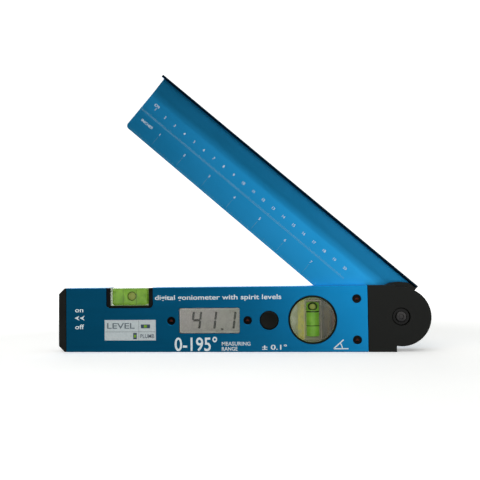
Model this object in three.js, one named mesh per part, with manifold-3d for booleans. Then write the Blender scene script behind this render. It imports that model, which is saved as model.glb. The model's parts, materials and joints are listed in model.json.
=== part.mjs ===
// A digital goniometer: a tubular body with a display, a hold button and two spirit vials,
// and an L-section ruled leg that turns on a hinge head at the body's right end.
// Millimetres, +Z up. The tool stands on the body's base face, its front towards -Y, hinge towards +X.
import * as THREE from 'three';
import { mergeVertices } from 'three/addons/utils/BufferGeometryUtils.js';
import Module from 'manifold-3d';

const wasm = await Module();
wasm.setup();

// ---------------------------------------------------------------------------------------------
// Driving dimensions. Pieces are drawn in hinge coordinates: x from the hinge axis (the body lies
// along -x), y from the body's front face towards the back, z from the hinge axis upwards.
// ---------------------------------------------------------------------------------------------
const openAngle = 41.1; // degrees between the arms as the tool stands
const openRange = 195; // degrees from fully closed to fully open

const fitGap = 0.3; // between pieces that are fixed to each other
const runGap = 0.3; // between pieces that move past each other
const pressGap = 0.15; // round a screw's head or shank

// Body
const bodyLength = 252; // hinge axis to the end cap's outer face
const baseDrop = 25; // hinge axis down to the base face
const bodyDepth = 20;
const tubeWall = 1.8;
const tubeEnd = 23.5; // hinge axis to the tube's end
const tubeEdge = 0.4; // radius along the tube's long edges

// Leg
const legLength = 252; // hinge axis to the leg's tip
const legInner = 24; // hinge axis to the leg's inner edge
const legSheet = 1.4; // thickness of the ruled sheet
const legRise = 1.2; // how far the sheet's front comes forward between its ruled part and the lip
const legRiseStart = 5; // hinge axis to where the rise begins
const legRiseBend = 9; // width over which it bends, before it runs straight to the lip
const legTipRadius = 3;
const lipWall = 2;
const lipHeight = 10.6; // measured from the leg's back face
const legClearance = 0.5; // between the body and the leg that folds over it
const legShoulder = 3.5; // the lip and the base stop this far before the hinge axis

// Hinge
const headRadius = 21;
const cheekDepth = 12.2;
const tongueLength = 16.2;
const tongueRoot = 3; // how far the tongue runs into the cheek
const hubReach = 24.5; // radius of the hub's edge on the ruled side
const hubSweep = 0.5; // between the hub and the tube's end
const pivotRadius = 2.5;
const pivotHeadRadius = 3.9;
const pivotHeadHeight = 1.6;
const pivotHeadEdge = 0.4; // chamfer round the head
const pivotSocketRadius = 1.9;
const pivotSocketDepth = 1.2;
const pivotWellRadius = 6.4;
const pivotWellDepth = 5;
const washerRadius = 5.9;
const washerThickness = 0.8;
const bushWall = 1;
const bushShort = 0.1; // the bush ends this far inside the cheek
const nutAcrossFlats = 8;
const nutHeight = 3.6;
const bossRadius = 5.4; // plastic left round the bush inside the sensor pocket
const sensorRadius = 12;
const sensorPocketDepth = 4.4;
const sensorPlate = 1;
const sensorAirGap = 1.1; // between the fixed and the turning plate
const rotorSleeve = { inner: 7.6, outer: 9.2 };
const rotorRimGap = 0.2;
const thrustWasherRadius = 6.9;
const hubRecessRadius = 9.6;
const hubRecessDepth = 1.1;
const stopPinRadius = 1.4;
const stopPinSeat = 4; // depth of the pin's seat in the hub
const stopPinTrack = 16.5; // radius of the stop pin's path
const stopPinAngle = 80; // from the leg's direction towards its lip, in degrees
const stopGrooveDepth = 2.2;
const stopSlack = 1.5; // degrees left at each end of the groove

// End cap and power switch
const capLength = 6;
const capChamfer = 4.5;
const capPlug = 9;
const capFace = 2; // wall the knob passes through
const switchTravel = 3;
const knobHeight = 5.2;
const knobWidth = 4.4;
const knobFlange = 1;
const knobFlangeLap = 1.4; // the flange still covers the slot at each end of the travel
const knobGroove = { pitch: 1.5, halfWidth: 0.3, depth: 0.5 };

// Screws
const screwHeadRadius = 3;
const screwShankRadius = 1.5;
const screwSlot = { reach: 1.65, halfWidth: 0.4, depth: 0.7 }; // the cross recess in a screw's head
const screwLength = { head: 10, display: 6.5, hub: 7.5, cover: 7 };

// Display and button, placed from the hinge axis
const lcdCentre = new THREE.Vector2(-138.15, -2.15);
const lcdWindow = new THREE.Vector2(45.1, 18.9);
const lcdCorner = 1.4;
const lcdGlassThickness = 2.2;
const lcdLensThickness = 1.4;
const lcdScrewSpan = 56.5; // between the two display screws
const lcdFrameBorder = 3.4;
const lcdFrameDepth = 5;
const lcdFrameEnd = 2; // beyond the display screws' heads
const connector = { inset: 3, drop: 1.2, height: 1.8 };
const chip = { half: 7, thickness: 1.6 };
const buttonCentre = new THREE.Vector2(-94.2, -2.1);
const buttonRadius = 6.7;
const buttonProud = 0.6;
const buttonTravel = 0.8;
const buttonFlange = 0.9;
const tactSize = 6;
const tactHeight = 3.4;
const tactPlunger = { radius: 1.7, height: 1 };
const boardThickness = 1.6;
const boardHeight = 32;
const boardGap = 0.6; // between the display frame and the board

// Plumb vial, a round window placed from the hinge axis
const plumbCentre = new THREE.Vector2(-62.8, -1.9);
const plumbWindowRadius = 17.6;
const cupWall = 0.8;
const plumbVial = new THREE.Vector2(11.5, 25);
const plumbBoreRadius = 4.95;
const plumbFoot = 0.5; // clear plastic left under the upright vial's bore
const plumbFace = 2.2; // clear plastic in front of the vial
const reflectorThickness = 0.4;
const plugThickness = 1.5;

// Screws that hold the hinge head's tongue, placed from the hinge axis
const headScrews = { upper: new THREE.Vector2(-31.2, 13), lower: new THREE.Vector2(-31.2, -16.4) };

// Level vial and label, placed from the end cap's outer face
const levelNotch = 35.4; // length of the notch in the tube
const levelNotchStart = 36.6;
const levelNotchFloor = 7.3; // height of the notch's floor above the hinge axis
const levelNotchCorner = 3;
const levelSideWall = 3.2;
const levelFloorWall = 1.7;
const levelBoreRadius = 5.7;
const labelSize = new THREE.Vector2(38.7, 15.1);
const labelStart = 35.4;
const labelTop = -1.3;
const labelThickness = 0.2;
const labelGap = 0.1;

// Battery
const cellRadius = 5.25;
const cellLength = 44.5;
const cellTip = new THREE.Vector2(1, 1.9); // length and radius of the plus button
const trayWall = 1;
const trayStart = 15.6; // from the end cap's outer face
const springRoom = 4.6; // for the contacts at the cells' ends
const contactThickness = 0.4;
const contactHalf = 3.4;
const coilRadius = 2.6;
const coverThickness = 1.5;
const coverCorner = 1.5;
const coverEar = 7; // part of the cover beyond the tray, for its screw
const earDepth = 7;
const earHalf = 4;

// ---------------------------------------------------------------------------------------------
// Levels that follow from the driving dimensions
// ---------------------------------------------------------------------------------------------
const bodyTop = baseDrop - lipWall - legClearance;
const cavityBottom = -baseDrop + tubeWall;
const cavityTop = bodyTop - tubeWall;
const cavityBack = bodyDepth - tubeWall;
const midDepth = bodyDepth / 2;
const legFront = bodyDepth + legClearance; // at the root of the lip
const ruledFront = legFront + legRise;
const legBack = ruledFront + legSheet;
const hubFront = cheekDepth + runGap;
const hubBack = ruledFront - fitGap;
const capEnd = -bodyLength;
const tubeLeft = capEnd + capLength;
const headLeft = -tubeEnd + fitGap;
const lipInner = bodyTop + legClearance;
const lcdFrameFront = tubeWall + fitGap;
const lcdFrameBack = lcdFrameFront + lcdFrameDepth;
const boardFront = lcdFrameBack + boardGap;
const boardBack = boardFront + boardThickness;
const sensorPocketFloor = cheekDepth - sensorPocketDepth;

// ---------------------------------------------------------------------------------------------
// Shapes and solids
// ---------------------------------------------------------------------------------------------
const fineSteps = 56;
const roundSteps = 28;
const smallSteps = 14;

function rectangle(left, bottom, right, top) {
  const shape = new THREE.Shape();
  shape.moveTo(left, bottom);
  shape.lineTo(right, bottom);
  shape.lineTo(right, top);
  shape.lineTo(left, top);
  shape.closePath();
  return shape;
}

function roundedRectangle(left, bottom, right, top, radius) {
  const shape = new THREE.Shape();
  shape.moveTo(left + radius, bottom);
  shape.absarc(right - radius, bottom + radius, radius, -Math.PI / 2, 0, false);
  shape.absarc(right - radius, top - radius, radius, 0, Math.PI / 2, false);
  shape.absarc(left + radius, top - radius, radius, Math.PI / 2, Math.PI, false);
  shape.absarc(left + radius, bottom + radius, radius, Math.PI, 1.5 * Math.PI, false);
  return shape;
}

function polygon(points) {
  return new THREE.Shape(points.map(([x, y]) => new THREE.Vector2(x, y)));
}

function extruded(shape, length, across, up, along, curveSegments) {
  const geometry = new THREE.ExtrudeGeometry(shape, { depth: length, bevelEnabled: false, curveSegments });
  geometry.applyMatrix4(new THREE.Matrix4().makeBasis(across, up, along));
  return geometry;
}

const unitX = new THREE.Vector3(1, 0, 0);
const unitY = new THREE.Vector3(0, 1, 0);
const unitZ = new THREE.Vector3(0, 0, 1);
const minusY = new THREE.Vector3(0, -1, 0);

// A shape drawn in y and z, extruded along x
function alongX(shape, from, to, curveSteps = 6) {
  return extruded(shape, to - from, unitY, unitZ, unitX, curveSteps).translate(from, 0, 0);
}

// A shape drawn in x and z, extruded along y
function alongY(shape, from, to, curveSteps = 6) {
  return extruded(shape, to - from, unitX, unitZ, minusY, curveSteps).translate(0, to, 0);
}

function box(left, right, front, back, bottom, top) {
  return alongY(rectangle(left, bottom, right, top), front, back);
}

// The front, back, bottom and top of the tube's cavity, less a gap all round
const cavity = (gap) => [tubeWall + gap, cavityBack - gap, cavityBottom + gap, cavityTop - gap];

// The same four of a box round the body's middle line
const centred = (halfDepth, halfHeight) =>
  [midDepth - halfDepth, midDepth + halfDepth, -halfHeight, halfHeight];

// A turned piece about a line along y. The profile is a list of [radius, y], from low y outwards.
function turned(profile, steps = roundSteps, x = 0, z = 0) {
  const points = profile.map(([radius, y]) => new THREE.Vector2(radius, y));
  return new THREE.LatheGeometry(points, steps).translate(x, 0, z);
}

function disc(radius, front, back, steps = roundSteps, x = 0, z = 0) {
  return turned([[0, front], [radius, front], [radius, back], [0, back]], steps, x, z);
}

function ring(inner, outer, front, back, steps = roundSteps, x = 0, z = 0) {
  return turned([[inner, front], [outer, front], [outer, back], [inner, back], [inner, front]], steps, x, z);
}

// A rod along x, made as a rod along y and laid over
function rodX(radius, left, right, steps, y, z) {
  return disc(radius, left, right, steps).rotateZ(-Math.PI / 2).translate(0, y, z);
}

// A rod along z
function rodZ(radius, bottom, top, steps, x, y) {
  return disc(radius, bottom, top, steps).rotateX(Math.PI / 2).translate(x, y, 0);
}

function toSolid(geometry) {
  const bare = geometry.clone();
  bare.deleteAttribute('normal');
  bare.deleteAttribute('uv');
  const merged = mergeVertices(bare, 1e-5);
  const corners = merged.index.array;
  const faces = [];
  for (let i = 0; i < corners.length; i += 3) {
    const [a, b, c] = [corners[i], corners[i + 1], corners[i + 2]];
    if (a !== b && b !== c && c !== a) faces.push(a, b, c);
  }
  const vertProperties = merged.attributes.position.array;
  return new wasm.Manifold(new wasm.Mesh({ numProp: 3, vertProperties, triVerts: new Uint32Array(faces) }));
}

function toGeometry(solid) {
  const mesh = solid.getMesh();
  const geometry = new THREE.BufferGeometry();
  geometry.setAttribute('position', new THREE.BufferAttribute(mesh.vertProperties, 3));
  geometry.setIndex(new THREE.BufferAttribute(mesh.triVerts, 1));
  geometry.computeVertexNormals();
  return geometry;
}

function cut(geometry, tools) {
  return toGeometry(tools.reduce((solid, tool) => solid.subtract(toSolid(tool)), toSolid(geometry)));
}

function join(geometries) {
  return toGeometry(geometries.map(toSolid).reduce((whole, piece) => whole.add(piece)));
}

function common(geometry, other) {
  return toGeometry(toSolid(geometry).intersect(toSolid(other)));
}

// ---------------------------------------------------------------------------------------------
// Materials
// ---------------------------------------------------------------------------------------------
const look = (color, roughness, metalness, opacity = 1) =>
  new THREE.MeshStandardMaterial({ color, roughness, metalness, opacity, transparent: opacity < 1 });
const blueAluminium = look(0x1772a8, 0.35, 0.8);
const blackPlastic = look(0x222322, 0.6, 0);
const blackSteel = look(0x1b1a1a, 0.4, 0.7);
const brightSteel = look(0xb9bcc0, 0.3, 1);
const brass = look(0xc9a24c, 0.3, 1);
const paleAcetal = look(0xe9e7df, 0.5, 0);
const clearAcrylic = look(0xf2f7f2, 0.08, 0, 0.3);
const greenLiquid = look(0x9fd42e, 0.1, 0, 0.7);
const greyGlass = look(0x8d8982, 0.25, 0);
const greenBoard = look(0x1d5a36, 0.5, 0);
const whiteLabel = look(0xd9e0e3, 0.5, 0);
const darkRubber = look(0x2b2b2e, 0.8, 0);
const cellWrap = look(0x3a3d42, 0.35, 0.2);

const tool = new THREE.Group();
const leg = new THREE.Group();

function piece(group, name, geometry, material) {
  const mesh = new THREE.Mesh(geometry, material);
  mesh.name = name;
  group.add(mesh);
}

// ---------------------------------------------------------------------------------------------
// Screws
// ---------------------------------------------------------------------------------------------
// A countersunk screw along y whose head faces -y. The hole that takes it is countersinkHole.
function countersunkScrew(at, face, length) {
  const top = face + pressGap;
  const neck = top + screwHeadRadius - screwShankRadius;
  const head = [[0, top], [screwHeadRadius, top], [screwShankRadius, neck]];
  const shank = [[screwShankRadius, face + length], [0, face + length]];
  return cut(turned([...head, ...shank], smallSteps, at.x, at.y), crossSlot(at, top));
}

function crossSlot(at, top) {
  const { reach, halfWidth, depth } = screwSlot;
  const through = [top - 1, top + depth];
  return [
    box(at.x - reach, at.x + reach, ...through, at.y - halfWidth, at.y + halfWidth),
    box(at.x - halfWidth, at.x + halfWidth, ...through, at.y - reach, at.y + reach),
  ];
}

function countersinkHole(at, face, length) {
  const mouth = screwHeadRadius + 2 * pressGap;
  const bore = screwShankRadius + 2 * pressGap;
  const lead = 0.5; // the cone is carried on past the face
  const cone = [[0, face - lead], [mouth + lead, face - lead], [bore, face + mouth - bore]];
  const shaft = [[bore, face + length], [0, face + length]];
  return turned([...cone, ...shaft], smallSteps, at.x, at.y);
}

function screwHole(at, from, to) {
  return disc(screwShankRadius + 2 * pressGap, from, to, smallSteps, at.x, at.y);
}

// The same screw or hole turned to face +y, so that its head sits in a back face
function fromBack(geometry, back) {
  return geometry.rotateZ(Math.PI).translate(0, back, 0);
}

const backFacing = (at) => new THREE.Vector2(-at.x, at.y);

// ---------------------------------------------------------------------------------------------
// Body tube and what its walls are cut for
// ---------------------------------------------------------------------------------------------
const levelLeft = capEnd + levelNotchStart;
const levelRight = levelLeft + levelNotch;

function levelNotchShape(clearance) {
  const corner = levelNotchCorner - clearance;
  const [left, right] = [levelLeft + clearance, levelRight - clearance];
  const floor = levelNotchFloor + clearance;
  return roundedRectangle(left, floor, right, bodyTop + 2 * levelNotchCorner, corner);
}

function lcdShape(clearance) {
  const halfWidth = lcdWindow.x / 2 - clearance;
  const halfHeight = lcdWindow.y / 2 - clearance;
  const { x, y } = lcdCentre;
  return roundedRectangle(x - halfWidth, y - halfHeight, x + halfWidth, y + halfHeight, lcdCorner);
}

const lcdScrewAt = {
  left: new THREE.Vector2(lcdCentre.x - lcdScrewSpan / 2, lcdCentre.y),
  right: new THREE.Vector2(lcdCentre.x + lcdScrewSpan / 2, lcdCentre.y),
};

// The hub sweeps this drum behind the cheek
const hubDrum = () => disc(hubReach + hubSweep, cheekDepth, bodyDepth + 1, fineSteps);

const tray = {
  left: capEnd + trayStart,
  right: capEnd + trayStart + 2 * trayWall + cellLength + springRoom,
  bottom: cavityBottom + fitGap,
  front: tubeWall + fitGap,
  back: cavityBack - fitGap,
};
tray.top = tray.bottom + 2 * trayWall + 4 * cellRadius + 3 * fitGap;
const coverScrewAt = new THREE.Vector2(tray.right + coverEar / 2, (tray.bottom + tray.top) / 2);

function coverShape(clearance) {
  const left = tray.left + trayWall + clearance;
  const right = tray.right + coverEar - clearance;
  return roundedRectangle(left, tray.bottom + trayWall + clearance, right, tray.top - clearance, coverCorner);
}

function bodyTube() {
  const outer = roundedRectangle(0, -baseDrop, bodyDepth, bodyTop, tubeEdge);
  outer.holes.push(rectangle(tubeWall, cavityBottom, cavityBack, cavityTop));
  const tube = alongX(outer, tubeLeft, -tubeEnd);
  const through = [-1, tubeWall + 1];
  return cut(tube, [
    alongY(lcdShape(0), ...through),
    disc(buttonRadius + runGap, ...through, roundSteps, buttonCentre.x, buttonCentre.y),
    disc(plumbWindowRadius, ...through, fineSteps, plumbCentre.x, plumbCentre.y),
    countersinkHole(lcdScrewAt.left, 0, tubeWall + 1),
    countersinkHole(lcdScrewAt.right, 0, tubeWall + 1),
    countersinkHole(headScrews.upper, 0, tubeWall + 1),
    countersinkHole(headScrews.lower, 0, tubeWall + 1),
    alongY(levelNotchShape(0), -1, bodyDepth + 1),
    alongY(coverShape(0), cavityBack - 1, bodyDepth + 1),
    hubDrum(),
  ]);
}

piece(tool, 'body_tube', bodyTube(), blueAluminium);

// ---------------------------------------------------------------------------------------------
// End cap and power switch
// ---------------------------------------------------------------------------------------------
const knobAt = switchTravel / 2; // the knob stands in its upper place, switched on
const knobSlot = { halfWidth: knobWidth / 2 + runGap, halfHeight: (knobHeight + switchTravel) / 2 + runGap };
const knobFlangeLeft = capEnd + capFace + runGap;
const knobFlangeRight = knobFlangeLeft + knobFlange;
const actuatorHalf = 0.8;
const actuatorLength = 2.6;
const switchLeft = knobFlangeRight + runGap;
const switchLength = 5.5;
const switchHalfWidth = 3.2;
const switchHalfHeight = 6.5;

function endCap() {
  const outline = polygon([
    [tubeLeft - fitGap, -baseDrop],
    [tubeLeft - fitGap, bodyTop],
    [capEnd + capChamfer, bodyTop],
    [capEnd, bodyTop - capChamfer],
    [capEnd, -baseDrop + capChamfer],
    [capEnd + capChamfer, -baseDrop],
  ]);
  const plugRight = tubeLeft + capPlug;
  const plugWall = 1.6;
  const plug = box(tubeLeft - capLength / 2, plugRight, ...cavity(fitGap));
  const { halfWidth, halfHeight } = knobSlot;
  return cut(join([alongY(outline, 0, bodyDepth), plug]), [
    box(capEnd + capFace, plugRight + 1, ...cavity(fitGap + plugWall)),
    box(capEnd - 1, capEnd + capFace + 1, ...centred(halfWidth, halfHeight)),
  ]);
}

function powerSwitchKnob() {
  const knobLeft = capEnd + fitGap;
  const flangeHalf = knobHeight / 2 + switchTravel / 2 + knobFlangeLap;
  const knob = join([
    box(knobLeft, knobFlangeRight, ...centred(knobWidth / 2, knobHeight / 2)),
    box(knobFlangeLeft, knobFlangeRight, ...centred(knobWidth / 2 + 1, flangeHalf)),
    box(knobFlangeLeft, knobFlangeRight + actuatorLength, ...centred(actuatorHalf, actuatorHalf)),
  ]);
  const { pitch, halfWidth, depth } = knobGroove;
  const grooves = [-pitch, 0, pitch].map((z) =>
    box(knobLeft - 1, knobLeft + depth, 0, bodyDepth, z - halfWidth, z + halfWidth));
  return cut(knob, grooves).translate(0, 0, knobAt);
}

function slideSwitch() {
  const can = box(switchLeft, switchLeft + switchLength, ...centred(switchHalfWidth, switchHalfHeight));
  const slotHalf = actuatorHalf + switchTravel / 2 + runGap;
  const slot = box(switchLeft - 1, switchLeft + actuatorLength, ...centred(actuatorHalf + runGap, slotHalf));
  return cut(can, [slot]);
}

piece(tool, 'end_cap', endCap(), blackPlastic);
piece(tool, 'power_switch_knob', powerSwitchKnob(), blackPlastic);
piece(tool, 'slide_switch', slideSwitch(), brightSteel);

// ---------------------------------------------------------------------------------------------
// Hinge head, its screws and the bearing stack
// ---------------------------------------------------------------------------------------------
const cable = { width: 3, thickness: 0.6, back: sensorPocketFloor - 0.4, start: -bossRadius - 1 };
const pivotBore = pivotRadius + pressGap;
const bushRadius = pivotBore + bushWall;
const wellFloor = pivotWellDepth;
const waveHeight = 0.2;
const waveFront = wellFloor - fitGap - washerThickness - 2 * waveHeight;
const washerFront = waveFront - fitGap - washerThickness;
const pivotHeadBack = washerFront - fitGap;
const pivotHeadFront = pivotHeadBack - pivotHeadHeight;
const pivotEnd = hubBack - fitGap;
const nutFront = pivotEnd - nutHeight;

// The stop pin's place in the leg's own coordinates, the leg lying along -x
const degrees = Math.PI / 180;
const stopPinAt = new THREE.Vector2(
  -stopPinTrack * Math.cos(stopPinAngle * degrees),
  stopPinTrack * Math.sin(stopPinAngle * degrees),
);

function stopGroove() {
  const start = Math.PI - (stopPinAngle - stopSlack) * degrees;
  const end = Math.PI - (stopPinAngle + openRange + stopSlack) * degrees;
  const half = stopPinRadius + runGap;
  const shape = new THREE.Shape();
  shape.absarc(0, 0, stopPinTrack + half, start, end, true);
  shape.absarc(stopPinTrack * Math.cos(end), stopPinTrack * Math.sin(end), half, end, end - Math.PI, true);
  shape.absarc(0, 0, stopPinTrack - half, end, start, false);
  const [startX, startY] = [stopPinTrack * Math.cos(start), stopPinTrack * Math.sin(start)];
  shape.absarc(startX, startY, half, start + Math.PI, start, true);
  return alongY(shape, cheekDepth - stopGrooveDepth, cheekDepth + 1, 24);
}

function hingeHead() {
  const tongueLeft = -tubeEnd - tongueLength;
  const blank = join([
    disc(headRadius, 0, cheekDepth, fineSteps),
    box(headLeft, -legShoulder, 0, cheekDepth, -baseDrop, bodyTop),
    box(tongueLeft, headLeft + tongueRoot, ...cavity(fitGap)),
  ]);
  const tunnelHalf = cable.thickness / 2 + fitGap;
  const tunnelFront = cable.back - cable.width - fitGap;
  const throughTongue = [tubeWall, tubeWall + screwLength.head + fitGap];
  return cut(blank, [
    hubDrum(),
    disc(pivotWellRadius, -1, wellFloor, roundSteps),
    disc(bushRadius + fitGap, -1, cheekDepth + 1, roundSteps),
    ring(bossRadius, sensorRadius + fitGap, sensorPocketFloor, cheekDepth + 1, fineSteps),
    stopGroove(),
    box(tongueLeft - 1, cable.start, tunnelFront, sensorPocketFloor + 0.5, -tunnelHalf, tunnelHalf),
    screwHole(headScrews.upper, ...throughTongue),
    screwHole(headScrews.lower, ...throughTongue),
  ]);
}

// A ring whose thickness rises and falls three times round, which presses the joint together
function waveWasher() {
  const geometry = ring(pivotBore, washerRadius - fitGap, waveFront, waveFront + washerThickness);
  const position = geometry.attributes.position;
  for (let i = 0; i < position.count; i += 1) {
    const turn = Math.atan2(position.getZ(i), position.getX(i));
    position.setY(i, position.getY(i) + waveHeight * (1 + Math.sin(3 * turn)));
  }
  return geometry;
}

function pivotScrew() {
  const edge = [
    [pivotHeadRadius - pivotHeadEdge, pivotHeadFront],
    [pivotHeadRadius, pivotHeadFront + pivotHeadEdge],
  ];
  const shank = [[pivotRadius, pivotHeadBack], [pivotRadius, pivotEnd], [0, pivotEnd]];
  const blank = turned([[0, pivotHeadFront], ...edge, [pivotHeadRadius, pivotHeadBack], ...shank]);
  return cut(blank, [disc(pivotSocketRadius, pivotHeadFront - 1, pivotHeadFront + pivotSocketDepth, 6)]);
}

// A hexagonal rod, sized by the distance across its flats
const hexagon = (acrossFlats, front, back) => disc(acrossFlats / Math.sqrt(3), front, back, 6);

function pivotNut() {
  const blank = hexagon(nutAcrossFlats, nutFront, pivotEnd);
  return cut(blank, [disc(pivotBore, nutFront - 1, pivotEnd + 1)]);
}

const statorFront = sensorPocketFloor + fitGap;

function sensorRotor() {
  const plateFront = statorFront + sensorPlate + sensorAirGap;
  const plateBack = plateFront + sensorPlate;
  const seat = hubFront + hubRecessDepth - fitGap;
  const bore = bossRadius + runGap;
  const rim = sensorRadius - rotorRimGap;
  const { inner, outer } = rotorSleeve;
  return turned([
    [bore, plateFront], [rim, plateFront], [rim, plateBack], [outer, plateBack], [outer, seat],
    [inner, seat], [inner, plateBack], [bore, plateBack], [bore, plateFront],
  ]);
}

function stopPin() {
  const front = cheekDepth - stopGrooveDepth + runGap;
  return disc(stopPinRadius, front, hubFront + stopPinSeat, smallSteps, stopPinAt.x, stopPinAt.y);
}

piece(tool, 'hinge_head', hingeHead(), blackPlastic);
piece(tool, 'head_screw_upper', countersunkScrew(headScrews.upper, 0, screwLength.head), blackSteel);
piece(tool, 'head_screw_lower', countersunkScrew(headScrews.lower, 0, screwLength.head), blackSteel);
piece(tool, 'hinge_bush', ring(pivotBore, bushRadius, wellFloor, cheekDepth - bushShort), brass);
piece(tool, 'wave_washer', waveWasher(), brightSteel);
piece(tool, 'pivot_washer',
  ring(pivotBore, washerRadius, washerFront, washerFront + washerThickness), blackSteel);
piece(tool, 'sensor_stator',
  ring(bossRadius + fitGap, sensorRadius, statorFront, statorFront + sensorPlate), greenBoard);
piece(leg, 'pivot_screw', pivotScrew(), blackSteel);
piece(leg, 'pivot_nut', pivotNut(), brightSteel);
piece(leg, 'thrust_washer',
  ring(pivotBore, thrustWasherRadius, hubFront, hubFront + washerThickness), paleAcetal);
piece(leg, 'sensor_rotor', sensorRotor(), paleAcetal);
piece(leg, 'stop_pin', stopPin(), brightSteel);

// ---------------------------------------------------------------------------------------------
// Leg, its hub and the hub's screws, drawn with the leg folded along -x and its lip on top
// ---------------------------------------------------------------------------------------------
const hubScrews = {
  upper: new THREE.Vector2(-15, 14),
  lower: new THREE.Vector2(-15, -14),
  rear: new THREE.Vector2(14.5, 0),
};

// Points of the sheet's front face across the leg, from its inner edge to the root of the lip
function sheetFrontPoints(gap) {
  const straight = lipInner - legRiseStart - legRiseBend;
  const slope = legRise / (straight + legRiseBend / 2);
  const bendSteps = 6;
  const bend = Array.from({ length: bendSteps + 1 }, (unused, i) => {
    const along = (legRiseBend * i) / bendSteps;
    return [ruledFront - gap - (slope * along * along) / (2 * legRiseBend), legRiseStart + along];
  });
  return [[ruledFront - gap, -legInner], ...bend, [legFront - gap, lipInner]];
}

function legProfile() {
  const [tip, end, inner] = [-legLength, -legShoulder, -legInner];
  const outline = new THREE.Shape();
  outline.moveTo(end, inner);
  outline.lineTo(end, baseDrop);
  outline.lineTo(tip, baseDrop);
  outline.lineTo(tip, inner + legTipRadius);
  outline.absarc(tip + legTipRadius, inner + legTipRadius, legTipRadius, Math.PI, 1.5 * Math.PI, false);
  const lipFront = legBack - lipHeight;
  const section = polygon([
    ...sheetFrontPoints(0), [lipFront, lipInner], [lipFront, baseDrop], [legBack, baseDrop], [legBack, inner],
  ]);
  const blank = join([
    common(alongX(section, tip, end), alongY(outline, lipFront - 1, legBack + 1)),
    disc(headRadius, ruledFront, legBack, fineSteps),
  ]);
  const hole = (at) => fromBack(countersinkHole(backFacing(at), 0, legSheet + legRise + 1), legBack);
  return cut(blank, Object.values(hubScrews).map(hole));
}

function legHub() {
  const block = rectangle(-hubReach - 1, -legInner + fitGap, -legShoulder, lipInner - fitGap);
  const reach = disc(hubReach, hubFront, hubBack, fineSteps);
  const sector = common(reach, alongY(block, hubFront - 1, hubBack + 1));
  const sheetSpace = polygon([...sheetFrontPoints(fitGap), [legBack, lipInner], [legBack, -legInner]]);
  const screwFront = legBack - screwLength.hub - fitGap;
  const pinEnd = hubFront + stopPinSeat + fitGap;
  return cut(join([disc(headRadius, hubFront, hubBack, fineSteps), sector]), [
    alongX(sheetSpace, -hubReach - 1, -legShoulder + fitGap),
    hexagon(nutAcrossFlats + 2 * fitGap, nutFront - fitGap, hubBack + 1),
    disc(pivotRadius + 2 * pressGap, hubFront - 1, hubBack + 1),
    disc(hubRecessRadius, hubFront - 1, hubFront + hubRecessDepth),
    disc(stopPinRadius + pressGap, hubFront - 1, pinEnd, smallSteps, stopPinAt.x, stopPinAt.y),
    ...Object.values(hubScrews).map((at) => screwHole(at, screwFront, hubBack + 1)),
  ]);
}

piece(leg, 'leg_profile', legProfile(), blueAluminium);
piece(leg, 'leg_hub', legHub(), blackPlastic);
for (const [name, at] of Object.entries(hubScrews)) {
  const screw = fromBack(countersunkScrew(backFacing(at), 0, screwLength.hub), legBack);
  piece(leg, `hub_screw_${name}`, screw, blackSteel);
}

// ---------------------------------------------------------------------------------------------
// Display, button and main board
// ---------------------------------------------------------------------------------------------
const lcdGlassFront = tubeWall + fitGap;
const lcdGlassBack = lcdGlassFront + lcdGlassThickness;
const frameHalf = lcdScrewSpan / 2 + screwHeadRadius + lcdFrameEnd;
const board = {
  left: lcdCentre.x - frameHalf - 1,
  right: buttonCentre.x + tactSize + 3,
  bottom: lcdCentre.y - boardHeight / 2,
};

function lcdFrame() {
  const halfHeight = lcdWindow.y / 2 + lcdFrameBorder;
  const { x, y } = lcdCentre;
  const [bottom, top] = [y - halfHeight, y + halfHeight];
  return cut(box(x - frameHalf, x + frameHalf, lcdFrameFront, lcdFrameBack, bottom, top), [
    alongY(lcdShape(0), lcdFrameFront - 1, lcdFrameBack + 1),
    screwHole(lcdScrewAt.left, lcdFrameFront - 1, lcdFrameBack + 1),
    screwHole(lcdScrewAt.right, lcdFrameFront - 1, lcdFrameBack + 1),
  ]);
}

function connectorStrip() {
  const halfLength = lcdWindow.x / 2 - connector.inset;
  const top = lcdCentre.y + lcdWindow.y / 2 - connector.drop;
  const [left, right] = [lcdCentre.x - halfLength, lcdCentre.x + halfLength];
  return box(left, right, lcdGlassBack + fitGap, boardFront - fitGap, top - connector.height, top);
}

function holdButton() {
  const crown = 0.5;
  const flangeRadius = buttonRadius + 1;
  const flangeFront = tubeWall + runGap;
  const flangeBack = flangeFront + buttonFlange;
  const stemRadius = 2;
  const stemEnd = boardFront - fitGap - tactHeight - buttonTravel - runGap;
  return turned([
    [0, -buttonProud], [buttonRadius - 2 * crown, -buttonProud], [buttonRadius, -buttonProud + crown],
    [buttonRadius, flangeFront], [flangeRadius, flangeFront], [flangeRadius, flangeBack],
    [stemRadius, flangeBack], [stemRadius, stemEnd], [0, stemEnd],
  ], roundSteps, buttonCentre.x, buttonCentre.y);
}

function buttonSwitch() {
  const back = boardFront - fitGap;
  const { x, y } = buttonCentre;
  const half = tactSize / 2;
  const top = back - tactHeight;
  const bodyFront = top + tactPlunger.height;
  const plunger = disc(tactPlunger.radius, top, (bodyFront + back) / 2, smallSteps, x, y);
  return join([box(x - half, x + half, bodyFront, back, y - half, y + half), plunger]);
}

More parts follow.
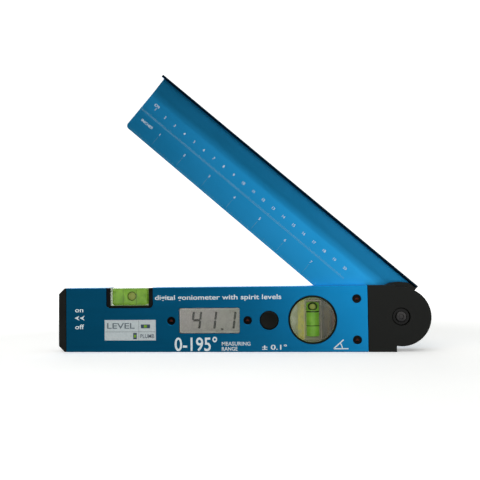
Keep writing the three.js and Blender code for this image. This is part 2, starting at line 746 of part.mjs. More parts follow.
piece(tool, 'lcd_lens', alongY(lcdShape(fitGap), fitGap, fitGap + lcdLensThickness), clearAcrylic);
piece(tool, 'lcd_glass', alongY(lcdShape(fitGap), lcdGlassFront, lcdGlassBack), greyGlass);
piece(tool, 'lcd_frame', lcdFrame(), blackPlastic);
piece(tool, 'connector_strip', connectorStrip(), darkRubber);
piece(tool, 'lcd_screw_left', countersunkScrew(lcdScrewAt.left, 0, screwLength.display), blackSteel);
piece(tool, 'lcd_screw_right', countersunkScrew(lcdScrewAt.right, 0, screwLength.display), blackSteel);
piece(tool, 'main_board',
  box(board.left, board.right, boardFront, boardBack, board.bottom, board.bottom + boardHeight), greenBoard);
const chipFront = boardBack + fitGap;
const chipBlock = box(-chip.half, chip.half, chipFront, chipFront + chip.thickness, -chip.half, chip.half);
piece(tool, 'controller_chip', chipBlock.translate(lcdCentre.x, 0, lcdCentre.y), darkRubber);
piece(tool, 'hold_button', holdButton(), blackPlastic);
piece(tool, 'button_switch', buttonSwitch(), brightSteel);

// ---------------------------------------------------------------------------------------------
// Plumb vial: a clear disc in a black cup, with the upright vial let into it from behind
// ---------------------------------------------------------------------------------------------
const cupRadius = plumbWindowRadius - fitGap;
const discRadius = cupRadius - cupWall - fitGap;
const cupFront = 0.1;
const cupBack = cavityBack - fitGap;
const reflectorBack = cupBack - cupWall - fitGap;
const reflectorFront = reflectorBack - reflectorThickness;
const plumbDiscFront = 0.4;
const plumbDiscBack = reflectorFront - fitGap;
const plumbVialFront = plumbDiscFront + plumbFace;
const plumbVialBack = plumbDiscBack - fitGap;
const plumbVialDepth = (plumbVialFront + plumbVialBack) / 2;

// The upright vial's outline, grown by a gap all round
function plumbVialShape(gap) {
  const { x, y } = plumbCentre;
  const [halfWidth, halfHeight] = [plumbVial.x / 2 + gap, plumbVial.y / 2 + gap];
  return rectangle(x - halfWidth, y - halfHeight, x + halfWidth, y + halfHeight);
}

function plumbDisc() {
  const blank = disc(discRadius, plumbDiscFront, plumbDiscBack, fineSteps, plumbCentre.x, plumbCentre.y);
  return cut(blank, [alongY(plumbVialShape(fitGap), plumbVialFront - fitGap, plumbDiscBack + 1)]);
}

function plumbCup() {
  return turned([
    [0, cupBack - cupWall], [cupRadius - cupWall, cupBack - cupWall], [cupRadius - cupWall, cupFront],
    [cupRadius, cupFront], [cupRadius, cupBack], [0, cupBack],
  ], fineSteps, plumbCentre.x, plumbCentre.y);
}

// The bore runs up from just above the block's foot and is closed by a plug at the top
const plumbBoreBottom = plumbCentre.y - plumbVial.y / 2 + plumbFoot;
const plumbTop = plumbCentre.y + plumbVial.y / 2;
const plumbPlugBottom = plumbTop - fitGap - plugThickness;

// A rod along the bore, below its radius by a gap
const inPlumbBore = (gap, bottom, top) =>
  rodZ(plumbBoreRadius - gap, bottom, top, roundSteps, plumbCentre.x, plumbVialDepth);

function plumbBlock() {
  const block = alongY(plumbVialShape(0), plumbVialFront, plumbVialBack);
  return cut(block, [inPlumbBore(0, plumbBoreBottom, plumbTop + 1)]);
}

piece(tool, 'plumb_vial_cup', plumbCup(), blackPlastic);
piece(tool, 'plumb_vial_reflector',
  disc(discRadius, reflectorFront, reflectorBack, roundSteps, plumbCentre.x, plumbCentre.y), whiteLabel);
piece(tool, 'plumb_vial_disc', plumbDisc(), clearAcrylic);
piece(tool, 'plumb_vial_block', plumbBlock(), clearAcrylic);
piece(tool, 'plumb_vial_liquid',
  inPlumbBore(fitGap, plumbBoreBottom + fitGap, plumbPlugBottom - fitGap), greenLiquid);
piece(tool, 'plumb_vial_plug', inPlumbBore(fitGap, plumbPlugBottom, plumbTop - fitGap), blackPlastic);

// ---------------------------------------------------------------------------------------------
// Level vial: a clear block in a black cradle that fills the notch in the tube's top edge
// ---------------------------------------------------------------------------------------------
const cradle = { front: fitGap, back: bodyDepth - fitGap, top: bodyTop - fitGap };
const levelBlock = {
  left: levelLeft + fitGap + levelSideWall,
  right: levelRight - fitGap - levelSideWall,
  bottom: levelNotchFloor + fitGap + levelFloorWall,
  top: bodyTop - fitGap,
};
const levelBoreHeight = (levelBlock.bottom + levelBlock.top) / 2;

function levelCradle() {
  const { left, right, bottom } = levelBlock;
  const blank = common(
    alongY(levelNotchShape(fitGap), cradle.front, cradle.back),
    box(levelLeft, levelRight, -1, bodyDepth + 1, levelNotchFloor, cradle.top),
  );
  return cut(blank, [box(left - fitGap, right + fitGap, -1, bodyDepth + 1, bottom - fitGap, bodyTop + 1)]);
}

// A rod along the bore, below its radius by a gap
const inLevelBore = (gap, left, right) =>
  rodX(levelBoreRadius - gap, left, right, roundSteps, midDepth, levelBoreHeight);

function levelVialBlock() {
  const { left, right, bottom, top } = levelBlock;
  const block = box(left, right, cradle.front, cradle.back, bottom, top);
  return cut(block, [inLevelBore(0, left - 1, right - plugThickness)]);
}

const levelPlugRight = levelBlock.left + fitGap + plugThickness;
piece(tool, 'level_vial_cradle', levelCradle(), blackPlastic);
piece(tool, 'level_vial_block', levelVialBlock(), clearAcrylic);
piece(tool, 'level_vial_liquid',
  inLevelBore(fitGap, levelPlugRight + fitGap, levelBlock.right - plugThickness - fitGap), greenLiquid);
piece(tool, 'level_vial_plug', inLevelBore(fitGap, levelBlock.left + fitGap, levelPlugRight), blackPlastic);

// ---------------------------------------------------------------------------------------------
// Label
// ---------------------------------------------------------------------------------------------
const labelLeft = capEnd + labelStart;
const labelShape = rectangle(labelLeft, labelTop - labelSize.y, labelLeft + labelSize.x, labelTop);
piece(tool, 'mode_label', alongY(labelShape, -labelGap - labelThickness, -labelGap), whiteLabel);

// ---------------------------------------------------------------------------------------------
// Battery: a tray open to the back, two cells, their contacts and a flush screwed cover
// ---------------------------------------------------------------------------------------------
const cellLeft = tray.left + trayWall + springRoom / 2;
const cellRight = cellLeft + cellLength;
const lowerCell = tray.bottom + trayWall + fitGap + cellRadius;
const upperCell = lowerCell + 2 * cellRadius + fitGap;
const coverFront = bodyDepth - coverThickness - pressGap;

function batteryTray() {
  const { left, right, front, back, bottom, top } = tray;
  const earBack = coverFront - fitGap;
  const [earBottom, earTop] = [coverScrewAt.y - earHalf, coverScrewAt.y + earHalf];
  const ear = box(right - 1, right + coverEar, earBack - earDepth, earBack, earBottom, earTop);
  const shell = join([box(left, right, front, back, bottom, top), ear]);
  return cut(shell, [
    box(left + trayWall, right - trayWall, front + trayWall, back + 1, bottom + trayWall, top - trayWall),
    screwHole(coverScrewAt, earBack - earDepth - 1, coverFront),
  ]);
}

// A cell along x with its plus button at the right
function cell() {
  const shoulder = cellLength - cellTip.x;
  return turned([
    [0, 0], [cellRadius, 0], [cellRadius, shoulder],
    [cellTip.y, shoulder], [cellTip.y, cellLength], [0, cellLength],
  ]).rotateZ(-Math.PI / 2);
}

function contactPlate(left, height, halfHeight) {
  const depth = [midDepth - contactHalf, midDepth + contactHalf];
  return box(left, left + contactThickness, ...depth, height - halfHeight, height + halfHeight);
}

// A plate with a short turned boss that stands for the coil which presses on the cell
function springContact() {
  const left = tray.left + trayWall + fitGap;
  const coil = rodX(coilRadius, left, cellLeft - fitGap, smallSteps, midDepth, lowerCell);
  return join([contactPlate(left, lowerCell, contactHalf), coil]);
}

function batteryCover() {
  return cut(alongY(coverShape(fitGap), coverFront, bodyDepth - pressGap),
    [fromBack(countersinkHole(backFacing(coverScrewAt), 0, coverThickness + 1), bodyDepth - pressGap)]);
}

const bridgeLeft = tray.right - trayWall - fitGap - contactThickness;
piece(tool, 'battery_tray', batteryTray(), blackPlastic);
piece(tool, 'battery_cell_lower', cell().translate(cellLeft, midDepth, lowerCell), cellWrap);
piece(tool, 'battery_cell_upper',
  cell().rotateY(Math.PI).translate(cellRight, midDepth, upperCell), cellWrap);
piece(tool, 'battery_bridge_contact',
  contactPlate(bridgeLeft, (lowerCell + upperCell) / 2, cellRadius + contactHalf), brightSteel);
piece(tool, 'battery_plus_contact',
  contactPlate(tray.left + trayWall + fitGap, upperCell, contactHalf), brightSteel);
piece(tool, 'battery_minus_contact', springContact(), brightSteel);
piece(tool, 'battery_cover', batteryCover(), blackPlastic);
const coverScrew = countersunkScrew(backFacing(coverScrewAt), 0, screwLength.cover);
piece(tool, 'battery_cover_screw', fromBack(coverScrew, bodyDepth - pressGap), blackSteel);

// ---------------------------------------------------------------------------------------------
// Ribbon cable from the angle sensor, over the plumb vial's cup, to the main board
// ---------------------------------------------------------------------------------------------
function sensorCable() {
  const half = cable.thickness / 2;
  const tongueEnd = -tubeEnd - tongueLength;
  const riseX = (tongueEnd + plumbCentre.x + cupRadius) / 2;
  const overZ = (plumbCentre.y + cupRadius + cavityTop) / 2;
  const dropX = (board.right + plumbCentre.x - cupRadius) / 2;
  const route = [[cable.start - 3, 0], [riseX, 0], [riseX, overZ], [dropX, overZ], [dropX, lcdCentre.y + 8]];
  const runs = route.slice(1).map(([x, z], i) => {
    const [fromX, fromZ] = route[i];
    return box(Math.min(x, fromX) - half, Math.max(x, fromX) + half, cable.back - cable.width, cable.back,
      Math.min(z, fromZ) - half, Math.max(z, fromZ) + half);
  });
  return join(runs);
}

piece(tool, 'sensor_cable', sensorCable(), cellWrap);

// ---------------------------------------------------------------------------------------------
// The leg opens about +y. The origin is the middle of the whole tool's footprint, on the base.
// ---------------------------------------------------------------------------------------------
leg.rotation.y = openAngle * degrees;
tool.add(leg);

const goniometer = new THREE.Group();
goniometer.add(tool);
const middleX = (headRadius - bodyLength) / 2;
const middleY = (legBack - buttonProud) / 2;
tool.position.set(-middleX, -middleY, baseDrop);

export default goniometer;
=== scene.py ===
"""Looks of the digital goniometer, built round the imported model.

Sizes are in metres, unless a name ends in _mm or belongs to the printing, which is laid out in
millimetres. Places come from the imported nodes' boxes and from the hinge.
"""
import json
import math

import bmesh
import bpy
from mathutils import Matrix, Quaternion, Vector


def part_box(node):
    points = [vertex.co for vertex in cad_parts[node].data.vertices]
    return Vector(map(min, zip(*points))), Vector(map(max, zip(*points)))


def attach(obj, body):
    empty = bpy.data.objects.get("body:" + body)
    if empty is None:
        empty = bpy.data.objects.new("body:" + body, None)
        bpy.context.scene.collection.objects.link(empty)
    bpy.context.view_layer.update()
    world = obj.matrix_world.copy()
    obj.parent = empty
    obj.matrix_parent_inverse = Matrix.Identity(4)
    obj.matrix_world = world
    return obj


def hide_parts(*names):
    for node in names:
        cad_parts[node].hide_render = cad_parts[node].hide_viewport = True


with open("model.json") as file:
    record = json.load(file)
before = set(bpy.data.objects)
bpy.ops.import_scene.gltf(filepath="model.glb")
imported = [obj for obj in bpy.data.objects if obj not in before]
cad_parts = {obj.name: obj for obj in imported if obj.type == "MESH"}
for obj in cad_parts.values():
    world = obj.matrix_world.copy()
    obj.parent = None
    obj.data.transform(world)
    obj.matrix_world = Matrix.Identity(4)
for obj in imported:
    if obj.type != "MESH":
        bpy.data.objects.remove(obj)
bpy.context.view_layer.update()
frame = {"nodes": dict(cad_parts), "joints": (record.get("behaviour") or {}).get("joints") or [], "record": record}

mm = 0.001

# ---------------------------------------------------------------------------------------------
# Places that the rest is worked out from
# ---------------------------------------------------------------------------------------------
leg_hinge = next(joint for joint in frame["joints"] if joint["name"] == "leg_hinge")
hinge = Vector(leg_hinge["pos_m"])
open_angle = -math.radians(leg_hinge["range_deg"][0])
towards_front = Vector((0, -1, 0))
leg_tipwards = Vector((-math.cos(open_angle), 0, math.sin(open_angle)))
leg_lipwards = Vector((math.sin(open_angle), 0, math.cos(open_angle)))

tube_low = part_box("body_tube")[0]
glass_low, glass_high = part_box("lcd_glass")
label_low, label_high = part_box("mode_label")
leg_low, leg_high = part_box("leg_profile")
leg_sheet = 1.4 * mm
leg_face = leg_high.y - leg_sheet
leg_length = 252 * mm
print_height = 0.04 * mm


def axis_on_face(y):
    """The hinge axis's place on a face at y, which the print and the reading are laid out from."""
    return Vector((hinge.x, y, hinge.z))


def tip_of_leg(across_mm):
    """A point on the ruled sheet's front at the leg's tip, across_mm from the hinge axis to the lip."""
    point = hinge + leg_tipwards * leg_length + leg_lipwards * (across_mm * mm)
    point.y = leg_face
    return point


# ---------------------------------------------------------------------------------------------
# Finishes
# ---------------------------------------------------------------------------------------------
def srgb(red, green, blue):
    """A colour given in 0 to 255, as the linear values that shaders take."""
    def linear(value):
        value /= 255
        return value / 12.92 if value <= 0.04045 else ((value + 0.055) / 1.055) ** 2.4
    return (linear(red), linear(green), linear(blue), 1)


def add_node(tree, kind, inputs=None, output=0, **settings):
    """Adds a node, sets or links its inputs by socket name or number, and gives one of its outputs."""
    made = tree.nodes.new(kind)
    for name, value in settings.items():
        setattr(made, name, value)
    for socket, value in (inputs or {}).items():
        for item in value if isinstance(value, list) else [value]:
            if isinstance(item, bpy.types.NodeSocket):
                tree.links.new(item, made.inputs[socket])
            else:
                made.inputs[socket].default_value = item
    return made.outputs[output]


class Finish:
    """One material: a Principled shader and what varies over it, all read from Object coordinates."""

    def __init__(self, name, **constants):
        self.material = bpy.data.materials.new(name)
        self.material.use_nodes = True
        self.tree = self.material.node_tree
        self.tree.nodes.clear()
        output = self.tree.nodes.new("ShaderNodeOutputMaterial")
        self.shader = self.tree.nodes.new("ShaderNodeBsdfPrincipled")
        self.tree.links.new(self.shader.outputs["BSDF"], output.inputs["Surface"])
        for socket, value in constants.items():
            self.shader.inputs[socket.replace("_", " ")].default_value = value

    def place(self):
        """The Object coordinates, in metres."""
        return add_node(self.tree, "ShaderNodeTexCoord", output="Object")

    def coordinate(self, axis):
        """One of the Object coordinates, in metres."""
        return add_node(self.tree, "ShaderNodeSeparateXYZ", {"Vector": self.place()}, axis)

    def distance(self):
        """How far a point is from the origin, in metres."""
        return add_node(self.tree, "ShaderNodeVectorMath", {0: self.place()}, "Value", operation="LENGTH")

    def sum_of(self, *values):
        total = values[0]
        for value in values[1:]:
            total = add_node(self.tree, "ShaderNodeMath", {0: total, 1: value}, operation="ADD")
        return total

    def noise(self, scale, detail=3.0, roughness=0.5, stretch=(1, 1, 1), turn=0.0):
        """Noise over Object coordinates that are turned about Y and then stretched."""
        turned = add_node(self.tree, "ShaderNodeMapping", {"Vector": self.place(), "Rotation": (0, turn, 0)})
        place = add_node(self.tree, "ShaderNodeMapping", {"Vector": turned, "Scale": stretch})
        inputs = {"Vector": place, "Scale": scale, "Detail": detail, "Roughness": roughness}
        return add_node(self.tree, "ShaderNodeTexNoise", inputs, "Fac")

    def between(self, fac, low, high, from_low=0.3, from_high=0.7):
        """fac spread from low to high."""
        inputs = {"Value": fac, "From Min": from_low, "From Max": from_high, "To Min": low, "To Max": high}
        return add_node(self.tree, "ShaderNodeMapRange", inputs, "Result")

    def colours(self, fac, stops):
        """A ramp of (position, colour) stops along fac, which goes to the base colour."""
        ramp = self.tree.nodes.new("ShaderNodeValToRGB")
        elements = ramp.color_ramp.elements
        while len(elements) < len(stops):
            elements.new(0.5)
        for element, (position, colour) in zip(elements, stops):
            element.position = position
            element.color = srgb(*colour)
        self.tree.links.new(fac, ramp.inputs["Fac"])
        self.to("Base Color", ramp.outputs["Color"])
        return ramp.outputs["Color"]

    def to(self, socket, value):
        self.tree.links.new(value, self.shader.inputs[socket])

    def bump(self, *layers):
        """Each layer is (height, strength, distance), laid over the one before."""
        below = {}
        for height, strength, distance in layers:
            inputs = {"Height": height, "Strength": strength, "Distance": distance, **below}
            below = {"Normal": add_node(self.tree, "ShaderNodeBump", inputs)}
        self.to("Normal", below["Normal"])


def blue_anodised(name, deep, bright, turn=0.0):
    """Brushed along the piece's length, then dyed blue; the dye sits a little unevenly."""
    finish = Finish(name, Metallic=1.0, IOR=1.6)
    grain = finish.noise(900, detail=4, roughness=0.7, stretch=(0.025, 1, 1), turn=turn)
    fine = finish.noise(2600, detail=2, stretch=(0.012, 1, 1), turn=turn)
    cloud = finish.noise(26, detail=3, stretch=(0.5, 1, 1), turn=turn)
    finish.colours(cloud, [(0.3, deep), (0.7, bright)])
    finish.to("Roughness", finish.between(grain, 0.29, 0.36))
    finish.bump((grain, 0.25, 0.01 * mm), (fine, 0.2, 0.005 * mm))
    return finish.material


def moulded(name, dark, light, low=0.5, high=0.66, texture=1.0):
    """Spark-textured moulded plastic."""
    finish = Finish(name, IOR=1.46, Specular_IOR_Level=0.3)
    spark = finish.noise(2400, detail=2, roughness=0.6)
    sheen = finish.noise(60, detail=4)
    finish.colours(sheen, [(0.3, dark), (0.7, light)])
    finish.to("Roughness", finish.between(sheen, low, high))
    finish.bump((spark, 0.35 * texture, 0.03 * mm))
    return finish.material


def plated(name, dark, light, low, high, stretch=(1, 1, 1)):
    """Bare or plated metal with fine working marks."""
    finish = Finish(name, Metallic=1.0)
    marks = finish.noise(1500, detail=3, stretch=stretch)
    tarnish = finish.noise(120, detail=4)
    finish.colours(tarnish, [(0.3, dark), (0.75, light)])
    finish.to("Roughness", finish.between(marks, low, high))
    finish.bump((marks, 0.2, 0.01 * mm))
    return finish.material


def printed(name, thin, thick, low=0.45, high=0.6):
    """Screen-printed ink: slightly thinner in places."""
    finish = Finish(name, IOR=1.5)
    cover = finish.noise(900, detail=3)
    finish.colours(cover, [(0.3, thin), (0.6, thick)])
    finish.to("Roughness", finish.between(cover, low, high))
    finish.bump((cover, 0.2, 0.01 * mm))
    return finish.material


def clear_plastic(name, tint, roughness_low, roughness_high):
    """Cast clear plastic, polished, with faint handling marks."""
    finish = Finish(name, Transmission_Weight=1.0, IOR=1.49)
    marks = finish.noise(700, detail=4, stretch=(1, 1, 0.2))
    finish.colours(finish.noise(40), [(0.3, tint), (0.7, (255, 255, 255))])
    finish.to("Roughness", finish.between(marks, roughness_low, roughness_high))
    finish.bump((marks, 0.05, 0.01 * mm))
    return finish.material


def vial_spirit(name, deep, bright):
    """Fluorescent yellow-green spirit: it lets light through, and it has a faint painted glow that does not depend
    on light meeting it.
    """
    finish = Finish(name, Transmission_Weight=0.3, IOR=1.36, Roughness=0.08, Emission_Strength=0.1)
    swirl = finish.noise(220, detail=2)
    finish.colours(swirl, [(0.35, deep), (0.65, bright)])
    # The glow is painted light, also on the bubbles, the vial lines and the label's green marks, which use these
    # finishes.
    finish.shader.inputs["Emission Color"].default_value = srgb(*bright)
    finish.bump((swirl, 0.03, 0.02 * mm))
    return finish.material


def reflector_foil(name):
    """Crinkled foil behind the upright vial, with painted reflections: pale on one side, brown and streaked on the
    other, and a faint painted glow.
    """
    # The foil glows faintly in its own colours: painted light.
    finish = Finish(name, Metallic=0.15, Roughness=0.4, Emission_Strength=0.2)
    low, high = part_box("plumb_vial_disc")
    centre, radius = (low + high) / 2, (high.x - low.x) / 2
    streaks = finish.noise(520, detail=4, roughness=0.7, stretch=(1, 1, 0.035))
    blots = finish.noise(160, detail=2)
    sway = finish.between(streaks, -0.07, 0.07)
    spread = finish.between(blots, -0.05, 0.05)
    # Colour by side, pale to the left and brown to the right: painted reflections, streaked by the foil's crinkle.
    across = finish.between(finish.coordinate("X"), 0, 1, centre.x - radius, centre.x + radius)
    stops = [(0.0, (176, 178, 150)), (0.16, (134, 140, 100)), (0.26, (182, 176, 60)), (0.33, (118, 128, 76)),
             (0.6, (98, 94, 58)), (0.7, (48, 46, 28)), (0.84, (92, 76, 40)), (0.9, (44, 42, 26)),
             (1.0, (92, 54, 34))]
    ramp = finish.colours(finish.sum_of(across, sway, spread), stops)
    finish.to("Emission Color", ramp)
    finish.bump((streaks, 0.5, 0.1 * mm))
    return finish.material


def make_finishes():
    """Every finish by its name: who makes it, its colours in 0 to 255, and that maker's other values."""
    recipes = [
        (blue_anodised, "blue_anodised", (24, 148, 216), (32, 158, 228)),
        # Lighter and more cyan than the body's blue: painted light on the leg; its grain also turns along the leg.
        (blue_anodised, "blue_anodised_leg", (40, 164, 232), (50, 172, 242), -open_angle),
        # A darker copy of the blue: painted shade on the lip's front faces.
        (blue_anodised, "blue_edge", (6, 34, 52), (10, 42, 62), -open_angle),
        (moulded, "black_plastic", (24, 25, 24), (31, 32, 31)),
        (moulded, "black_smooth", (10, 10, 11), (17, 17, 18), 0.3, 0.42, 0.3),
        (moulded, "button_rubber", (11, 12, 8), (17, 18, 13), 0.5, 0.7, 0.6),
        (plated, "black_steel", (24, 23, 23), (40, 38, 38), 0.3, 0.45),
        (plated, "pivot_steel", (44, 44, 46), (84, 82, 82), 0.24, 0.36),
        (moulded, "screw_recess", (92, 38, 32), (116, 56, 44), 0.6, 0.8, 0.4),
        (plated, "bright_steel", (150, 152, 156), (196, 198, 200), 0.25, 0.4, (0.1, 1, 1)),
        (plated, "brass", (176, 134, 60), (214, 178, 92), 0.25, 0.4),
        (moulded, "acetal", (222, 219, 208), (236, 234, 226), 0.4, 0.5, 0.3),
        (clear_plastic, "clear_plastic", (238, 244, 236), 0.01, 0.05),
        (vial_spirit, "vial_spirit", (116, 168, 44), (146, 192, 62)),
        (vial_spirit, "plumb_spirit", (128, 196, 58), (156, 214, 76)),
        (vial_spirit, "bubble", (150, 164, 66), (178, 190, 90)),
        (vial_spirit, "spirit_edge", (38, 62, 16), (54, 80, 24)),
        (vial_spirit, "bubble_edge", (78, 112, 34), (96, 132, 44)),
        (printed, "vial_frame", (178, 160, 146), (204, 188, 172)),
        # Painted reflections and a painted glow on the foil behind the upright vial.
        (reflector_foil, "reflector_foil"),
        (printed, "lcd_grey", (164, 156, 154), (176, 168, 164), 0.35, 0.45),
        # Painted highlight for the display glass's cut edges.
        (printed, "lcd_rim", (206, 198, 192), (220, 212, 206), 0.35, 0.45),
        (printed, "lcd_ink", (44, 38, 38), (56, 50, 48), 0.4, 0.5),
        (printed, "lcd_ghost", (157, 149, 147), (169, 161, 157), 0.4, 0.5),
        (printed, "board", (20, 74, 42), (34, 98, 58), 0.35, 0.5),
        (printed, "white_ink", (226, 238, 244), (242, 252, 255)),
        (printed, "label_paper", (196, 206, 210), (208, 217, 221), 0.4, 0.5),
        (printed, "label_ink", (94, 108, 118), (110, 124, 132), 0.45, 0.55),
        (printed, "label_navy", (46, 62, 84), (62, 80, 102), 0.45, 0.55),
        (printed, "faint_ink", (130, 176, 190), (156, 196, 208), 0.5, 0.6),
        (moulded, "rubber", (38, 38, 40), (50, 50, 52), 0.7, 0.85),
        (moulded, "cell_wrap", (50, 54, 60), (70, 74, 80), 0.25, 0.35, 0.2),
    ]
    return {name: make(name, *values) for make, name, *values in recipes}


finishes = make_finishes()
# The record's slots whose finish has another name than the slot
finish_of_slot = {"clear_acrylic": "clear_plastic", "vial_liquid": "vial_spirit", "lcd_glass": "lcd_grey",
                  "circuit_board": "board", "white_print": "label_paper", "black_rubber": "rubber"}


# ---------------------------------------------------------------------------------------------
# Making and placing pieces
# ---------------------------------------------------------------------------------------------
def add_to_scene(name, data):
    added = bpy.data.objects.new(name, data)
    bpy.context.scene.collection.objects.link(added)
    return added


def evaluated_mesh(holder):
    """The plain mesh that an object's modifiers or letters come to. The object itself is removed."""
    bpy.context.view_layer.update()
    mesh = bpy.data.meshes.new_from_object(holder.evaluated_get(bpy.context.evaluated_depsgraph_get()))
    bpy.data.objects.remove(holder)
    return mesh


def even_shading(mesh, smooth):
    """Smooth shading that leaves flat faces flat and lets only the rounded edges turn."""
    mesh.polygons.foreach_set("use_smooth", [True] * len(mesh.polygons))
    mesh.set_sharp_from_angle(angle=math.radians(smooth))
    holder = add_to_scene("holder", mesh)
    weighted = holder.modifiers.new("weighted", "WEIGHTED_NORMAL")
    weighted.keep_sharp = True
    weighted.weight = 100
    even = evaluated_mesh(holder)
    name = mesh.name
    bpy.data.meshes.remove(mesh)
    even.name = name
    return even


def piece_from(mesh, name, finish, body, slot, *replaced, smooth=32):
    """A finished piece: one mesh with its place in its vertices, riding on a body."""
    mesh.name = name
    mesh.materials.clear()
    mesh.materials.append(finishes[finish])
    mesh = even_shading(mesh, smooth)
    piece = add_to_scene(name, mesh)
    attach(piece, body)
    if replaced:
        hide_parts(*replaced)
    return piece


def mesh_of(bm):
    """The mesh that a bmesh holds, its faces turned outwards. The bmesh is freed."""
    bmesh.ops.recalc_face_normals(bm, faces=bm.faces)
    mesh = bpy.data.meshes.new("made")
    bm.to_mesh(mesh)
    bm.free()
    return mesh


def clean_copy(node):
    """A CAD piece's mesh, its loose triangles merged back into whole faces."""
    bm = bmesh.new()
    bm.from_mesh(frame["nodes"][node].data)
    bmesh.ops.remove_doubles(bm, verts=bm.verts, dist=0.004 * mm)
    bmesh.ops.dissolve_limit(bm, angle_limit=math.radians(0.8), verts=bm.verts, edges=bm.edges)
    return bm


def round_edges(bm, radius, segments=2, sharper_than=34):
    limit = math.radians(sharper_than)
    sharp = [edge for edge in bm.edges if len(edge.link_faces) == 2 and edge.calc_face_angle() > limit]
    bmesh.ops.bevel(bm, geom=sharp, offset=radius, segments=segments, profile=0.5, affect="EDGES",
                    clamp_overlap=True)


def softened(node, finish, body, slot, edge_mm, segments=2):
    """The CAD piece with its edges rounded, in the CAD piece's place."""
    bm = clean_copy(node)
    round_edges(bm, edge_mm * mm, segments)
    return piece_from(mesh_of(bm), node + "_skin", finish, body, slot, node, smooth=50)


def turned_about_y(profile, centre, steps=96):
    """A turned piece about a line along Y. The profile runs in (radius, y) pairs in metres."""
    bm = bmesh.new()
    angles = [2 * math.pi * i / steps for i in range(steps)]
    on_axis = 1e-9
    rings = []
    for radius, y in profile:
        around = angles if radius > on_axis else [0]
        rings.append([bm.verts.new((centre.x + radius * math.cos(a), y, centre.z + radius * math.sin(a)))
                      for a in around])
    for first, second in zip(rings, rings[1:]):
        for i in range(steps):
            j = (i + 1) % steps
            corners = (first, i), (first, j), (second, j), (second, i)
            bm.faces.new(list(dict.fromkeys(ring[k % len(ring)] for ring, k in corners)))
    return bm


def arc(centre_x, centre_y, radius, start, end, steps=6):
    """Points of an arc in a flat layout, angles in degrees."""
    turn = [math.radians(start + (end - start) * i / steps) for i in range(steps + 1)]
    return [(centre_x + radius * math.cos(a), centre_y + radius * math.sin(a)) for a in turn]


# ---------------------------------------------------------------------------------------------
# Printing: lettering and small marks as thin ink on a face
# ---------------------------------------------------------------------------------------------
def letter_mesh(text, weight=0.0):
    """Text as a flat mesh in the font's own units, thickened by weight."""
    curve = bpy.data.curves.new("letters", "FONT")
    curve.body = text
    curve.offset = weight
    curve.resolution_u = 4
    mesh = evaluated_mesh(add_to_scene("letters", curve))
    bpy.data.curves.remove(curve)
    return mesh


capital_height = max(vertex.co.y for vertex in letter_mesh("H").vertices)


class Print:
    """Ink on one face. Marks are laid out in (right, up) millimetres from a corner and raised a hair."""

    def __init__(self, origin, right=Vector((1, 0, 0)), up=Vector((0, 0, 1)), thickness=print_height):
        self.origin, self.right, self.up = origin, right, up
        self.thickness = thickness
        self.bm = bmesh.new()

    def add_flat(self, mesh):
        """Adds a flat mesh in layout millimetres, thickened into a closed slab of ink."""
        flat = bmesh.new()
        flat.from_mesh(mesh)
        bmesh.ops.remove_doubles(flat, verts=flat.verts, dist=1e-4)
        top = bmesh.ops.extrude_face_region(flat, geom=list(flat.faces))
        lifted = {item for item in top["geom"] if isinstance(item, bmesh.types.BMVert)}
        for vertex in flat.verts:
            across, along = self.right * (vertex.co.x * mm), self.up * (vertex.co.y * mm)
            rise = towards_front * (self.thickness if vertex in lifted else 0)
            vertex.co = self.origin + across + along + rise
        bmesh.ops.recalc_face_normals(flat, faces=flat.faces)
        slab = bpy.data.meshes.new("slab")
        flat.to_mesh(slab)
        flat.free()
        self.bm.from_mesh(slab)
        bpy.data.meshes.remove(slab)

    def text(self, text, at, height, width=None, weight=0.0, centred=False):
        """A line of text with its capitals' foot at at, height tall and, if given, width wide."""
        mesh = letter_mesh(text, weight)
        scale = height / capital_height
        left = min(vertex.co.x for vertex in mesh.vertices)
        span = max(vertex.co.x for vertex in mesh.vertices) - left
        across = width / span if width else scale
        shift = -span * across / 2 if centred else 0
        for vertex in mesh.vertices:
            vertex.co = ((vertex.co.x - left) * across + shift + at[0], vertex.co.y * scale + at[1], 0)
        self.add_flat(mesh)

    def outline(self, points):
        """A filled outline, its points in order."""
        mesh = bpy.data.meshes.new("outline")
        mesh.from_pydata([(x, y, 0) for x, y in points], [], [list(range(len(points)))])
        self.add_flat(mesh)

    def bar(self, left, bottom, right, top):
        self.outline([(left, bottom), (right, bottom), (right, top), (left, top)])

    def stroke(self, start, end, width):
        """A straight line of ink with square ends."""
        start, end = Vector(start), Vector(end)
        side = (end - start).orthogonal().normalized() * (width / 2)
        self.outline([start - side, end - side, end + side, start + side])

    def ring(self, centre, radius, width, start, end, steps=20):
        """Part of a ring, angles in degrees."""
        outer = arc(*centre, radius + width / 2, start, end, steps)
        inner = arc(*centre, radius - width / 2, start, end, steps)
        self.outline(outer + inner[::-1])

    def finish(self, name, finish, body, slot):
        mesh = bpy.data.meshes.new(name)
        self.bm.to_mesh(mesh)
        self.bm.free()
        return piece_from(mesh, name, finish, body, slot)


# ---------------------------------------------------------------------------------------------
# Geometry Nodes: ruled marks and screws
# ---------------------------------------------------------------------------------------------
def new_tree(name, inputs):
    """A tree that takes geometry and these inputs, what its inputs give, and its output node."""
    tree = bpy.data.node_groups.new(name, "GeometryNodeTree")
    for label, kind in [("Geometry", "Geometry")] + inputs:
        tree.interface.new_socket(label, in_out="INPUT", socket_type="NodeSocket" + kind)
    tree.interface.new_socket("Geometry", in_out="OUTPUT", socket_type="NodeSocketGeometry")
    return tree, tree.nodes.new("NodeGroupInput").outputs, tree.nodes.new("NodeGroupOutput")


def end_tree(tree, instances, material, result):
    """Makes the instances real and gives them their material."""
    real = add_node(tree, "GeometryNodeRealizeInstances", {"Geometry": instances})
    finished = add_node(tree, "GeometryNodeSetMaterial", {"Geometry": real, "Material": material})
    tree.links.new(finished, result.inputs[0])
    return tree


def arithmetic(tree, operation, first, second):
    return add_node(tree, "ShaderNodeMath", {0: first, 1: second}, operation=operation)


